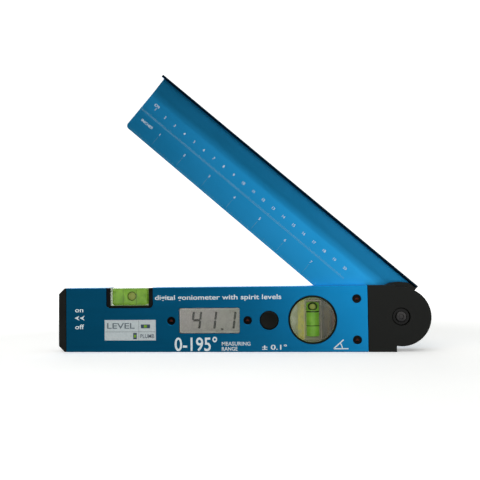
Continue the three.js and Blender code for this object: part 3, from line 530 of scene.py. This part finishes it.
def ruled_marks_tree():
    """Upright marks at an even pitch along a line, some of them longer, all standing on the line."""
    inputs = [("Count", "Int"), ("Pitch", "Float"), ("Mark width", "Float"), ("Mark height", "Float"),
              ("Short", "Float"), ("Medium", "Float"), ("Long", "Float"),
              ("Medium every", "Int"), ("Long every", "Int"), ("Ink", "Material")]
    tree, given, result = new_tree("ruled_marks", inputs)
    offset = add_node(tree, "ShaderNodeCombineXYZ", {"X": given["Pitch"]})
    line = add_node(tree, "GeometryNodeMeshLine", {"Count": given["Count"], "Offset": offset}, mode="OFFSET")
    index = add_node(tree, "GeometryNodeInputIndex")

    def longer_on(every, usual, longer):
        falls_on = arithmetic(tree, "LESS_THAN", arithmetic(tree, "MODULO", index, every), 0.5)
        inputs = {"Switch": falls_on, "False": usual, "True": longer}
        return add_node(tree, "GeometryNodeSwitch", inputs, input_type="FLOAT")

    medium = longer_on(given["Medium every"], given["Short"], given["Medium"])
    length = longer_on(given["Long every"], medium, given["Long"])
    bar = add_node(tree, "GeometryNodeMeshCube", {"Size": (1, 1, 1)})
    standing = add_node(tree, "GeometryNodeTransform", {"Geometry": bar, "Translation": (0, 0.5, 0.5)})
    size = add_node(tree, "ShaderNodeCombineXYZ",
                    {"X": given["Mark width"], "Y": length, "Z": given["Mark height"]})
    marks = add_node(tree, "GeometryNodeInstanceOnPoints",
                     {"Points": line, "Instance": standing, "Scale": size})
    return end_tree(tree, marks, given["Ink"], result)


def countersunk_screws_tree():
    """A countersunk screw with a cross recess at every point, its head facing -Y or, turned, +Y."""
    inputs = [("Head radius", "Float"), ("Shank radius", "Float"), ("Length", "Float"),
              ("Recess depth", "Float"), ("Facing", "Rotation"), ("Metal", "Material")]
    tree, given, result = new_tree("countersunk_screws", inputs)
    head_radius, shank_radius, length = given["Head radius"], given["Shank radius"], given["Length"]
    head_depth = arithmetic(tree, "SUBTRACT", head_radius, shank_radius)
    head = add_node(tree, "GeometryNodeMeshCone", {"Vertices": 48, "Radius Top": shank_radius,
                                                   "Radius Bottom": head_radius, "Depth": head_depth})
    below_head = arithmetic(tree, "SUBTRACT", length, head_depth)
    shank = add_node(tree, "GeometryNodeMeshCylinder",
                     {"Vertices": 32, "Radius": shank_radius, "Depth": below_head})
    shank_middle = arithmetic(tree, "MULTIPLY", arithmetic(tree, "ADD", length, head_depth), 0.5)
    shank_place = add_node(tree, "ShaderNodeCombineXYZ", {"Z": shank_middle})
    placed_shank = add_node(tree, "GeometryNodeTransform", {"Geometry": shank, "Translation": shank_place})
    length_share, width_share = 0.8, 0.34
    arm_length = arithmetic(tree, "MULTIPLY", head_radius, length_share)
    arm_width = arithmetic(tree, "MULTIPLY", head_radius, width_share)
    arm_depth = arithmetic(tree, "MULTIPLY", given["Recess depth"], 2.0)
    for across, along in ((arm_length, arm_width), (arm_width, arm_length)):
        size = add_node(tree, "ShaderNodeCombineXYZ", {"X": across, "Y": along, "Z": arm_depth})
        arm = add_node(tree, "GeometryNodeMeshCube", {"Size": size})
        head = add_node(tree, "GeometryNodeMeshBoolean", {"Mesh 1": head, "Mesh 2": arm},
                        operation="DIFFERENCE")
    whole = add_node(tree, "GeometryNodeJoinGeometry", {"Geometry": [head, placed_shank]})
    screws = add_node(tree, "GeometryNodeInstanceOnPoints",
                      {"Points": given["Geometry"], "Instance": whole, "Rotation": given["Facing"]})
    return end_tree(tree, screws, given["Metal"], result)


def run_tree(tree, values, points=((0, 0, 0),)):
    """The mesh that a tree makes from these points, with its inputs set by socket identifier."""
    seed = bpy.data.meshes.new("seed")
    seed.from_pydata([tuple(point) for point in points], [], [])
    holder = add_to_scene("holder", seed)
    modifier = holder.modifiers.new("nodes", "NODES")
    modifier.node_group = tree
    for item in tree.interface.items_tree:
        if item.item_type == "SOCKET" and item.in_out == "INPUT" and item.name in values:
            modifier[item.identifier] = values[item.name]
    mesh = evaluated_mesh(holder)
    bpy.data.meshes.remove(seed)
    return mesh


ruled_marks = ruled_marks_tree()
countersunk_screws = countersunk_screws_tree()


# ---------------------------------------------------------------------------------------------
# Body: tube, cap, knob, head
# ---------------------------------------------------------------------------------------------
def make_body():
    softened("body_tube", "blue_anodised", "body", "blue_anodised", 0.25)
    softened("end_cap", "black_plastic", "body", "black_plastic", 0.6, 3)
    softened("power_switch_knob", "black_smooth", "power_switch", "black_plastic", 0.2)
    softened("hinge_head", "black_plastic", "body", "black_plastic", 0.5, 3)
    softened("battery_cover", "black_plastic", "body", "black_plastic", 0.2)
    softened("level_vial_cradle", "black_smooth", "body", "black_plastic", 0.2)
    softened("plumb_vial_cup", "black_smooth", "body", "black_plastic", 0.2)
    softened("lcd_lens", "clear_plastic", "body", "clear_acrylic", 0.15)


def screws(name, body, facing, *nodes):
    """Countersunk screws in the places of these CAD screws, facing the front (-1) or the back (1)."""
    boxes = [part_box(screw) for screw in nodes]
    low, high = boxes[0]
    head_radius = (high.z - low.z) / 2
    points = [((low.x + high.x) / 2, low.y if facing < 0 else high.y, (low.z + high.z) / 2)
              for low, high in boxes]
    values = {"Head radius": head_radius, "Shank radius": head_radius / 2, "Length": high.y - low.y,
              "Recess depth": 0.9 * mm, "Facing": (math.radians(90 * facing), 0, 0),
              "Metal": finishes["black_steel"]}
    mesh = run_tree(countersunk_screws, values, points)
    piece = piece_from(mesh, name, "black_steel", body, "black_steel", *nodes)
    piece.data.materials.append(finishes["screw_recess"])
    floor_depth, faces_out = 0.5 * mm, 0.9
    for face in piece.data.polygons:
        deep = abs(face.center.y - points[0][1]) > floor_depth and face.normal.y * facing > faces_out
        near = min(math.hypot(face.center.x - x, face.center.z - z) for x, y, z in points) < head_radius / 2
        face.material_index = 1 if deep and near else 0


def make_screws():
    screws("display_screws", "body", -1, "lcd_screw_left", "lcd_screw_right")
    screws("head_screws", "body", -1, "head_screw_upper", "head_screw_lower")
    screws("cover_screw", "body", 1, "battery_cover_screw")
    screws("leg_screws", "leg", 1, "hub_screw_upper", "hub_screw_lower", "hub_screw_rear")


def make_button():
    """A soft round button with a rolled edge and a shallow dish."""
    low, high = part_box("hold_button")
    flange, flange_lap = (high.x - low.x) / 2, 1 * mm
    radius = flange - flange_lap
    edge, dish, stem = 0.9 * mm, 0.35 * mm, 2 * mm
    front, shelf, foot = low.y, tube_low.y + 2.1 * mm, high.y - 0.4 * mm
    profile = [(0, front + dish), (radius * 0.35, front + dish * 0.86), (radius * 0.62, front + dish * 0.45)]
    profile += arc(radius - edge, front + edge, edge, -100, 0)
    profile += [(radius, shelf), (flange, shelf), (flange, foot), (stem, foot), (stem, high.y), (0, high.y)]
    cap = mesh_of(turned_about_y(profile, (low + high) / 2))
    piece_from(cap, "button_cap", "button_rubber", "hold_button", "black_plastic", "hold_button")


def make_pivot():
    """The pivot screw's head with its hexagon socket, and the washer it bears on."""
    softened("pivot_screw", "pivot_steel", "leg", "black_steel", 0.15)
    low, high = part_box("pivot_washer")
    centre, outer, inner = (low + high) / 2, (high.x - low.x) / 2, 2.7 * mm
    edge = 0.2 * mm
    profile = [(inner, low.y), (outer - edge, low.y)] + arc(outer - edge, low.y + edge, edge, -90, 0, 3)
    profile += [(outer, high.y), (inner, high.y), (inner, low.y)]
    bm = turned_about_y(profile, centre)
    bmesh.ops.remove_doubles(bm, verts=bm.verts, dist=0.001 * mm)
    piece_from(mesh_of(bm), "pivot_washer_skin", "black_smooth", "body", "black_steel", "pivot_washer")


def make_leg():
    """The ruled sheet with crisp edges, and a lip with round ones whose front faces are painted darker blue as
    painted shade.
    """
    bm = clean_copy("leg_profile")
    lip_front, lip_edge_length = leg_low.y + 0.05 * mm, 20 * mm
    lip_edges = [edge for edge in bm.edges if edge.calc_length() > lip_edge_length
                 and all(vertex.co.y < lip_front for vertex in edge.verts)]
    bmesh.ops.bevel(bm, geom=lip_edges, offset=0.85 * mm, segments=4, profile=0.5, affect="EDGES")
    round_edges(bm, 0.2 * mm, sharper_than=50)
    leg = piece_from(mesh_of(bm), "leg_profile_skin", "blue_anodised_leg", "leg", "blue_anodised",
                     "leg_profile", smooth=50)
    leg.data.materials.append(finishes["blue_edge"])
    # Painted shade: the lip's front faces take a darker copy of the blue.
    painted_shade_depth = 1.2 * mm
    for face in leg.data.polygons:
        face.material_index = 1 if face.center.y < leg_low.y + painted_shade_depth else 0
    softened("leg_hub", "black_plastic", "leg", "black_plastic", 0.4)


# ---------------------------------------------------------------------------------------------
# Printing on the body and the label
# ---------------------------------------------------------------------------------------------
def print_on_body():
    """The wording, the switch's arrows and the angle sign, in millimetres from the hinge axis."""
    ink = Print(axis_on_face(tube_low.y))
    for words, place, height, width, weight in (
            ("digital goniometer with spirit levels", (-178.4, 13.3), 3.4, 93.3, 0.014),
            ("on", (-239.3, 4.6), 3.3, 6.4, 0.015),
            ("off", (-239.3, -7.9), 3.3, 7.0, 0.015),
            ("0-195°", (-163.9, -24.0), 9.4, 31.5, 0.012),
            ("MEASURING", (-129.0, -20.2), 2.6, 21, 0.01),
            ("RANGE", (-129.0, -23.9), 2.6, 11.5, 0.01),
            ("± 0.1°", (-99.6, -23.2), 3.4, 18.0, 0.015)):
        ink.text(words, place, height, width, weight)
    for left in (-239.8, -235.8):
        ink.outline([(left, 0.2), (left + 3.9, 2.0), (left + 2.6, 0.2), (left + 3.9, -1.6)])
    corner = Vector((-48.2, -22.6))
    for side in (Vector((10.5, 0)), Vector((7.2, 6.4))):
        ink.stroke(corner, corner + side, 0.8)
    ink.ring(corner, 6.2, 0.7, 3, 39)
    ink.finish("body_print", "white_ink", "body", "white_print")


def print_on_label():
    """Two rows: LEVEL with a lying vial, PLUMB with an upright one."""
    wide, tall = (label_high.x - label_low.x) / mm, (label_high.z - label_low.z) / mm
    row, split = tall * 0.42, wide * 0.67
    margin, line = 0.5, 0.2
    ink = Print(label_low, thickness=0.02 * mm)
    ink.text("LEVEL", (wide * 0.05, row + 2.4), 4.0, width=wide * 0.54, weight=0.014)
    ink.bar(margin, row - 0.12, wide - margin, row + 0.12)
    ink.bar(split - line / 2, margin, split + line / 2, tall - margin)
    ink.finish("label_print", "label_ink", "body", "white_print")
    dark = Print(label_low, thickness=0.025 * mm)
    dark.text("PLUMB", (split + 1.2, row / 2 - 1.4), 2.8, width=wide - split - 2.4, weight=0.006)
    dark.bar(wide * 0.71, row + 2.6, wide * 0.89, row + 5.4)
    dark.bar(wide * 0.56, 0.9, wide * 0.63, row - 0.8)
    dark.finish("label_vials", "label_navy", "body", "white_print")
    green = Print(label_low, thickness=0.03 * mm)
    green.bar(wide * 0.77, row + 3.1, wide * 0.83, row + 4.9)
    green.bar(wide * 0.575, 2.2, wide * 0.615, row - 2.2)
    green.finish("label_bubbles", "vial_spirit", "body", "vial_liquid")


# ---------------------------------------------------------------------------------------------
# Printing on the leg: a centimetre scale over an inch scale, both from the tip
# ---------------------------------------------------------------------------------------------
centimetre, inch = 10.0, 25.4


def scale_marks(name, base_mm, pitch_mm, count, width_mm, lengths_mm, every):
    """One row of marks that stand on a line base_mm from the hinge axis towards the lip."""
    short, medium, long = lengths_mm
    values = {"Count": count, "Pitch": pitch_mm * mm, "Mark width": width_mm * mm,
              "Mark height": print_height, "Short": short * mm, "Medium": medium * mm, "Long": long * mm,
              "Medium every": every[0], "Long every": every[1], "Ink": finishes["faint_ink"]}
    mesh = run_tree(ruled_marks, values)
    turn = Matrix((-leg_tipwards, leg_lipwards, towards_front)).transposed().to_4x4()
    mesh.transform(Matrix.Translation(tip_of_leg(base_mm)) @ turn)
    piece_from(mesh, name, "faint_ink", "leg", "white_print")


def print_on_leg():
    """Both scales' marks, their numerals and their units."""
    centimetre_base, inch_base = -6.2, -23.2
    scale_marks("centimetre_marks", centimetre_base, centimetre / 10, 205, 0.17, (1.6, 1.9, 2.2), (5, 10))
    scale_marks("inch_marks", inch_base, inch / 16, 129, 0.1, (0.9, 1.3, 1.9), (2, 8))
    scale_marks("whole_inch_marks", inch_base, inch, 9, 0.1, (9.2, 9.2, 9.2), (1, 1))
    ink = Print(tip_of_leg(0), -leg_tipwards, leg_lipwards)
    numeral_height = 2.0
    for unit, count, foot in ((centimetre, 20, 0.1), (inch, 7, -12.7)):
        for number in range(1, count + 1):
            ink.text(str(number), (number * unit, foot), numeral_height, centred=True)
    ink.text("CM", (7.0, 2.8), 2.0, width=4.2)
    ink.text("INCHES", (6.7, -12.8), 1.9, width=11)
    ink.finish("leg_numbers", "white_ink", "leg", "white_print")


# ---------------------------------------------------------------------------------------------
# Display: seven-bar figures on the grey glass
# ---------------------------------------------------------------------------------------------
figure_width, figure_height = 7.2, 14.4
bar_width = 1.7
figure_slant = 0.13
bars_of = {"4": "bcfg", "1": "bc"}


def figure_bars(lit):
    """Outlines of a seven-bar figure's bars, from its lower left corner."""
    w, h, t = figure_width, figure_height, bar_width
    gap, half, corner = 0.22, h / 2, t / 4

    def blunt(left, bottom, right, top):
        return [(left, bottom + corner), (left + corner, bottom), (right - corner, bottom),
                (right, bottom + corner), (right, top - corner), (right - corner, top),
                (left + corner, top), (left, top - corner)]

    def lying(y):
        return blunt(t / 2 + gap, y - t / 2, w - t / 2 - gap, y + t / 2)

    def standing(x, y0, y1):
        return blunt(x - t / 2, y0 + gap, x + t / 2, y1 - gap)

    bars = {
        "a": lying(h - t / 2), "g": lying(half), "d": lying(t / 2),
        "f": standing(t / 2, half, h - t / 2), "b": standing(w - t / 2, half, h - t / 2),
        "e": standing(t / 2, t / 2, half), "c": standing(w - t / 2, t / 2, half),
    }
    return [[(x + figure_slant * y, y) for x, y in bars[key]] for key in lit]


def make_display():
    """The reading in dark bars, every other bar faintly visible, and a painted highlight along the glass's left,
    lower and upper edges.
    """
    foot, point_left, point_size = -9.1, -129.9, (2.0, 1.25)
    lean = figure_slant * figure_height
    ink = Print(axis_on_face(glass_low.y), thickness=0.03 * mm)
    ghost = Print(axis_on_face(glass_low.y), thickness=0.015 * mm)
    for figure, right_edge in (("4", -143.2), ("1", -132.0), ("1", -117.9)):
        left = right_edge - figure_width - lean
        for target, lit in ((ink, bars_of[figure]), (ghost, "abcdefg")):
            for outline in figure_bars(lit):
                target.outline([(x + left, y + foot) for x, y in outline])
    ink.bar(point_left, foot, point_left + point_size[0], foot + point_size[1])
    ink.finish("display_figures", "lcd_ink", "body", "black_plastic")
    ghost.finish("display_ghost_bars", "lcd_ghost", "body", "lcd_glass")
    # Painted highlight: pale lines where the glass's cut edges catch the light, on the left, lower and upper
    # sides.
    edge_highlight = Print(glass_low, thickness=0.02 * mm)
    wide, tall = (glass_high.x - glass_low.x) / mm, (glass_high.z - glass_low.z) / mm
    line, inset = 0.45, 0.5
    edge_highlight.bar(inset, inset, inset + line, tall - inset)
    edge_highlight.bar(inset, inset, wide - inset, inset + line)
    edge_highlight.bar(inset, tall - inset - line, wide - inset, tall - inset)
    edge_highlight.finish("display_painted_highlight", "lcd_rim", "body", "lcd_glass")


# ---------------------------------------------------------------------------------------------
# Vials
# ---------------------------------------------------------------------------------------------
def scaled_to(bm, size, place):
    """Stretches a shape that was made round the origin, and moves it to its place."""
    bmesh.ops.scale(bm, vec=size, verts=bm.verts)
    bmesh.ops.translate(bm, vec=place, verts=bm.verts)


def rounded_block(low, high, edge, segments=3):
    bm = bmesh.new()
    bmesh.ops.create_cube(bm, size=1)
    scaled_to(bm, high - low, (low + high) / 2)
    bmesh.ops.bevel(bm, geom=list(bm.edges), offset=edge, segments=segments, profile=0.5, affect="EDGES")
    return bm


def turned_upright(profile, foot):
    """A turned piece that stands on its foot; the profile runs in (radius, height) pairs."""
    bm = turned_about_y(profile, Vector((0, 0, 0)), 64)
    turn = Vector((0, 1, 0)).rotation_difference(Vector((0, 0, 1))).to_matrix()
    for vertex in bm.verts:
        vertex.co = turn @ vertex.co + foot
    bmesh.ops.remove_doubles(bm, verts=bm.verts, dist=0.001 * mm)
    return bm


def capsule(foot, length, radius, crown):
    """An upright round bar with softly domed ends, crown deep."""
    angles = [math.radians(15 * i) for i in range(1, 7)]
    dome = [(0, 0)] + [(radius * math.sin(a), crown * (1 - math.cos(a))) for a in angles]
    return turned_upright(dome + [(r, length - y) for r, y in dome[::-1]], foot)


def vial_rings(centre, radius, thickness, rings):
    """Painted rings round an upright vial, each with its height and width in millimetres."""
    whole = bmesh.new()
    for height, width in rings:
        half, outer = width * mm / 2, radius + thickness
        profile = [(radius, -half), (outer, -half), (outer, half), (radius, half), (radius, -half)]
        mesh = mesh_of(turned_upright(profile, centre + Vector((0, 0, height * mm))))
        whole.from_mesh(mesh)
        bpy.data.meshes.remove(mesh)
    return whole


def bubble(name, centre, half_size):
    """A flattened bubble against the front of the bore; a darker shell, a little larger, behind it paints the dark
    rim that the bubble's curved skin shows by bending light.
    """
    # The grown dark shell is painted shade: the rim that refraction at the bubble's skin shows.
    for part, finish, grown, back in (("_skin", "spirit_edge", 1.18, 0.15 * mm), ("", "bubble", 1.0, 0)):
        bm = bmesh.new()
        bmesh.ops.create_uvsphere(bm, u_segments=40, v_segments=24, radius=1)
        size = Vector((half_size.x * grown, half_size.y, half_size.z * grown))
        scaled_to(bm, size, centre + Vector((0, back, 0)))
        piece_from(mesh_of(bm), name + part, finish, "body", "vial_liquid", smooth=60)


def make_level_vial():
    """A clear block round its spirit, with two lines and a bubble a little off the middle."""
    low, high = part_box("level_vial_block")
    block = mesh_of(rounded_block(low, high, 0.3 * mm))
    piece_from(block, "level_block", "clear_plastic", "body", "clear_acrylic", "level_vial_block")
    spirit_low = low + Vector((0.8, 1.2, 0.25)) * mm
    spirit_high = high - Vector((0.7, 1.2, 0.25)) * mm
    spirit = mesh_of(rounded_block(spirit_low, spirit_high, 1.6 * mm, 5))
    piece_from(spirit, "level_spirit", "vial_spirit", "body", "vial_liquid",
               "level_vial_liquid", "level_vial_plug", smooth=60)
    centre = (low + high) / 2
    lines = Print(Vector((centre.x, spirit_low.y, low.z)))
    spread, line, margin = 5, 0.4, 1.2
    for side in (-spread, spread):
        lines.bar(side - line / 2, margin, side + line / 2, (high.z - low.z) / mm - margin)
    lines.finish("level_lines", "bubble_edge", "body", "vial_liquid")
    place = Vector((centre.x, spirit_low.y, centre.z)) + Vector((1.7, 0.5, 0.5)) * mm
    bubble("level_bubble", place, Vector((3.4, 1.1, 3.5)) * mm)


def make_plumb_vial():
    """A clear disc over an upright vial with its rings, its bubble and a painted frame."""
    low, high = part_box("plumb_vial_disc")
    block_low, block_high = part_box("plumb_vial_block")
    liquid_low, liquid_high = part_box("plumb_vial_liquid")
    radius, edge = (high.x - low.x) / 2, 0.4 * mm
    profile = [(0, low.y)] + arc(radius - edge, low.y + edge, edge, -90, 0, 4)
    profile += [(radius, high.y), (0, high.y)]
    disc = mesh_of(turned_about_y(profile, (low + high) / 2, 128))
    piece_from(disc, "plumb_disc", "clear_plastic", "body", "clear_acrylic",
               "plumb_vial_disc", "plumb_vial_block")
    centre = (liquid_low + liquid_high) / 2
    centre.z = (block_low.z + block_high.z) / 2
    liquid_radius = (liquid_high.x - liquid_low.x) / 2
    overlap, crown, paint = 0.1 * mm, 0.8 * mm, 0.08 * mm
    foot = Vector((centre.x, centre.y, block_low.z - overlap))
    spirit = mesh_of(capsule(foot, block_high.z + overlap - foot.z, liquid_radius, crown))
    piece_from(spirit, "plumb_spirit", "plumb_spirit", "body", "vial_liquid",
               "plumb_vial_liquid", "plumb_vial_plug")
    rings = mesh_of(vial_rings(centre, liquid_radius, paint, ((5.6, 0.9), (-4.6, 0.5))))
    piece_from(rings, "plumb_lines", "spirit_edge", "body", "vial_liquid")
    bubble_place = centre + Vector((0, 0.5 * mm - liquid_radius, 9.4 * mm))
    bubble("plumb_bubble", bubble_place, Vector((3.0, 1.4, 2.6)) * mm)
    outline = Print(Vector((centre.x, block_low.y, centre.z)))
    across, up, line = 6.0, 13.9, 0.25
    for side in (-1, 1):
        outline.bar(side * across - line / 2, -up, side * across + line / 2, up)
        outline.bar(-across, side * up - line / 2, across, side * up + line / 2)
    outline.finish("plumb_frame", "vial_frame", "body", "clear_acrylic")


# ---------------------------------------------------------------------------------------------
# CAD pieces that stay as they are, in their slots' finishes
# ---------------------------------------------------------------------------------------------
def finish_cad_pieces():
    slots = {part["node"]: part["material_slot"] for part in frame["record"]["subparts"]}
    for name, cad_piece in frame["nodes"].items():
        finish = finish_of_slot.get(slots[name], slots[name])
        # The reflector takes the foil with painted reflections.
        if name == "plumb_vial_reflector":
            finish = "reflector_foil"
        cad_piece.data.materials.clear()
        cad_piece.data.materials.append(finishes[finish])


# ---------------------------------------------------------------------------------------------
# Camera, floor and lights
# ---------------------------------------------------------------------------------------------
def make_camera():
    """Stands about 0.53 m in front of the body, a little above the hinge and to its left."""
    data = bpy.data.cameras.new("camera")
    data.sensor_width = 36
    data.lens = 54.53
    camera = add_to_scene("camera", data)
    across_mm, back_mm, up_mm = -56.88, 527.84, 35.35
    camera.location = hinge + Vector((across_mm, -back_mm - (hinge.y - tube_low.y) / mm, up_mm)) * mm
    pan, tilt, roll = math.radians(6.251), math.radians(2.282), math.radians(-0.73)
    camera.rotation_mode = "QUATERNION"
    level = math.radians(90)
    camera.rotation_quaternion = (
        Quaternion((0, 0, 1), pan) @ Quaternion((1, 0, 0), level + tilt) @ Quaternion((0, 0, 1), roll)
    )
    bpy.context.scene.camera = camera


def make_floor():
    """A pale round sweep: floor, a wide bend and a wall all round, which only the camera sees lit."""
    middle, wall_radius, bend, top = 0.4, 2.4, 0.6, 2.4
    bend_steps, round_steps = 20, 96
    profile = [(middle, 0.0)] + arc(wall_radius - bend, bend, bend, -90, 0, bend_steps)
    profile += [(wall_radius, top), (middle, top)]
    turns = [2 * math.pi * i / round_steps for i in range(round_steps)]
    bm = bmesh.new()
    rings = [[bm.verts.new((radius * math.cos(a), radius * math.sin(a), z)) for a in turns]
             for radius, z in profile]
    bm.faces.new(rings[0])
    bm.faces.new(rings[-1][::-1])
    for lower, upper in zip(rings, rings[1:]):
        for i in range(round_steps):
            j = (i + 1) % round_steps
            bm.faces.new((lower[i], upper[i], upper[j], lower[j]))
    mesh = bpy.data.meshes.new("sweep")
    bm.to_mesh(mesh)
    bm.free()
    mesh.polygons.foreach_set("use_smooth", [True] * len(mesh.polygons))
    mesh.set_sharp_from_angle(angle=math.radians(30))
    finish = Finish("pale_floor", Roughness=0.9)
    finish.colours(finish.noise(8), [(0.3, (248, 248, 248)), (0.7, (252, 252, 252))])
    finish.shader.inputs["Emission Color"].default_value = srgb(255, 255, 255)
    glow_near, glow_far, near, far = 0.3, 0.97, 0.25, 0.8
    finish.to("Emission Strength", finish.between(finish.distance(), glow_near, glow_far, near, far))
    mesh.materials.append(finish.material)
    floor = add_to_scene("floor", mesh)
    floor.visible_glossy = False
    floor.visible_diffuse = False
    floor.visible_shadow = False


def softbox(name, place, aim, size, watts, roll=0, mirrored=True):
    """A soft rectangular light that shines from its place to what it is aimed at."""
    data = bpy.data.lights.new(name, "AREA")
    data.shape = "RECTANGLE"
    data.size, data.size_y = size
    data.energy = watts
    light = add_to_scene(name, data)
    light.location = place
    light.rotation_mode = "QUATERNION"
    facing = (Vector(aim) - Vector(place)).to_track_quat("-Z", "Y")
    light.rotation_quaternion = facing @ Quaternion((0, 0, 1), math.radians(roll))
    light.visible_glossy = mirrored
    light.visible_camera = False
    light.visible_transmission = False


def make_lights():
    """Soft light from the right, from above, from the front and, for the other views, from behind."""
    body_middle = (0, 0, 0.08)
    softbox("right_box", (0.28, -1.15, 0.36), (0.08, 0, 0.08), (0.7, 1.2), watts=3.3, roll=30)
    softbox("overhead_box", (0.0, -0.1, 1.1), (0, 0, 0), (1.7, 1.3), watts=6)
    softbox("front_fill", (-0.3, -1.2, 0.7), body_middle, (1.2, 0.8), watts=9, mirrored=False)
    softbox("back_box", (-0.35, 1.3, 0.3), body_middle, (1.2, 1.0), watts=7)
    world = bpy.data.worlds.new("studio")
    world.use_nodes = True
    background = world.node_tree.nodes["Background"]
    background.inputs["Color"].default_value = (0.95, 1.0, 0.85, 1)
    background.inputs["Strength"].default_value = 0.12
    bpy.context.scene.world = world
    bpy.context.scene.view_settings.view_transform = "Standard"


finish_cad_pieces()
make_camera()
make_floor()
make_lights()
make_body()
make_screws()
make_button()
make_pivot()
make_leg()
print_on_body()
print_on_label()
print_on_leg()
make_display()
make_level_vial()
make_plumb_vial()
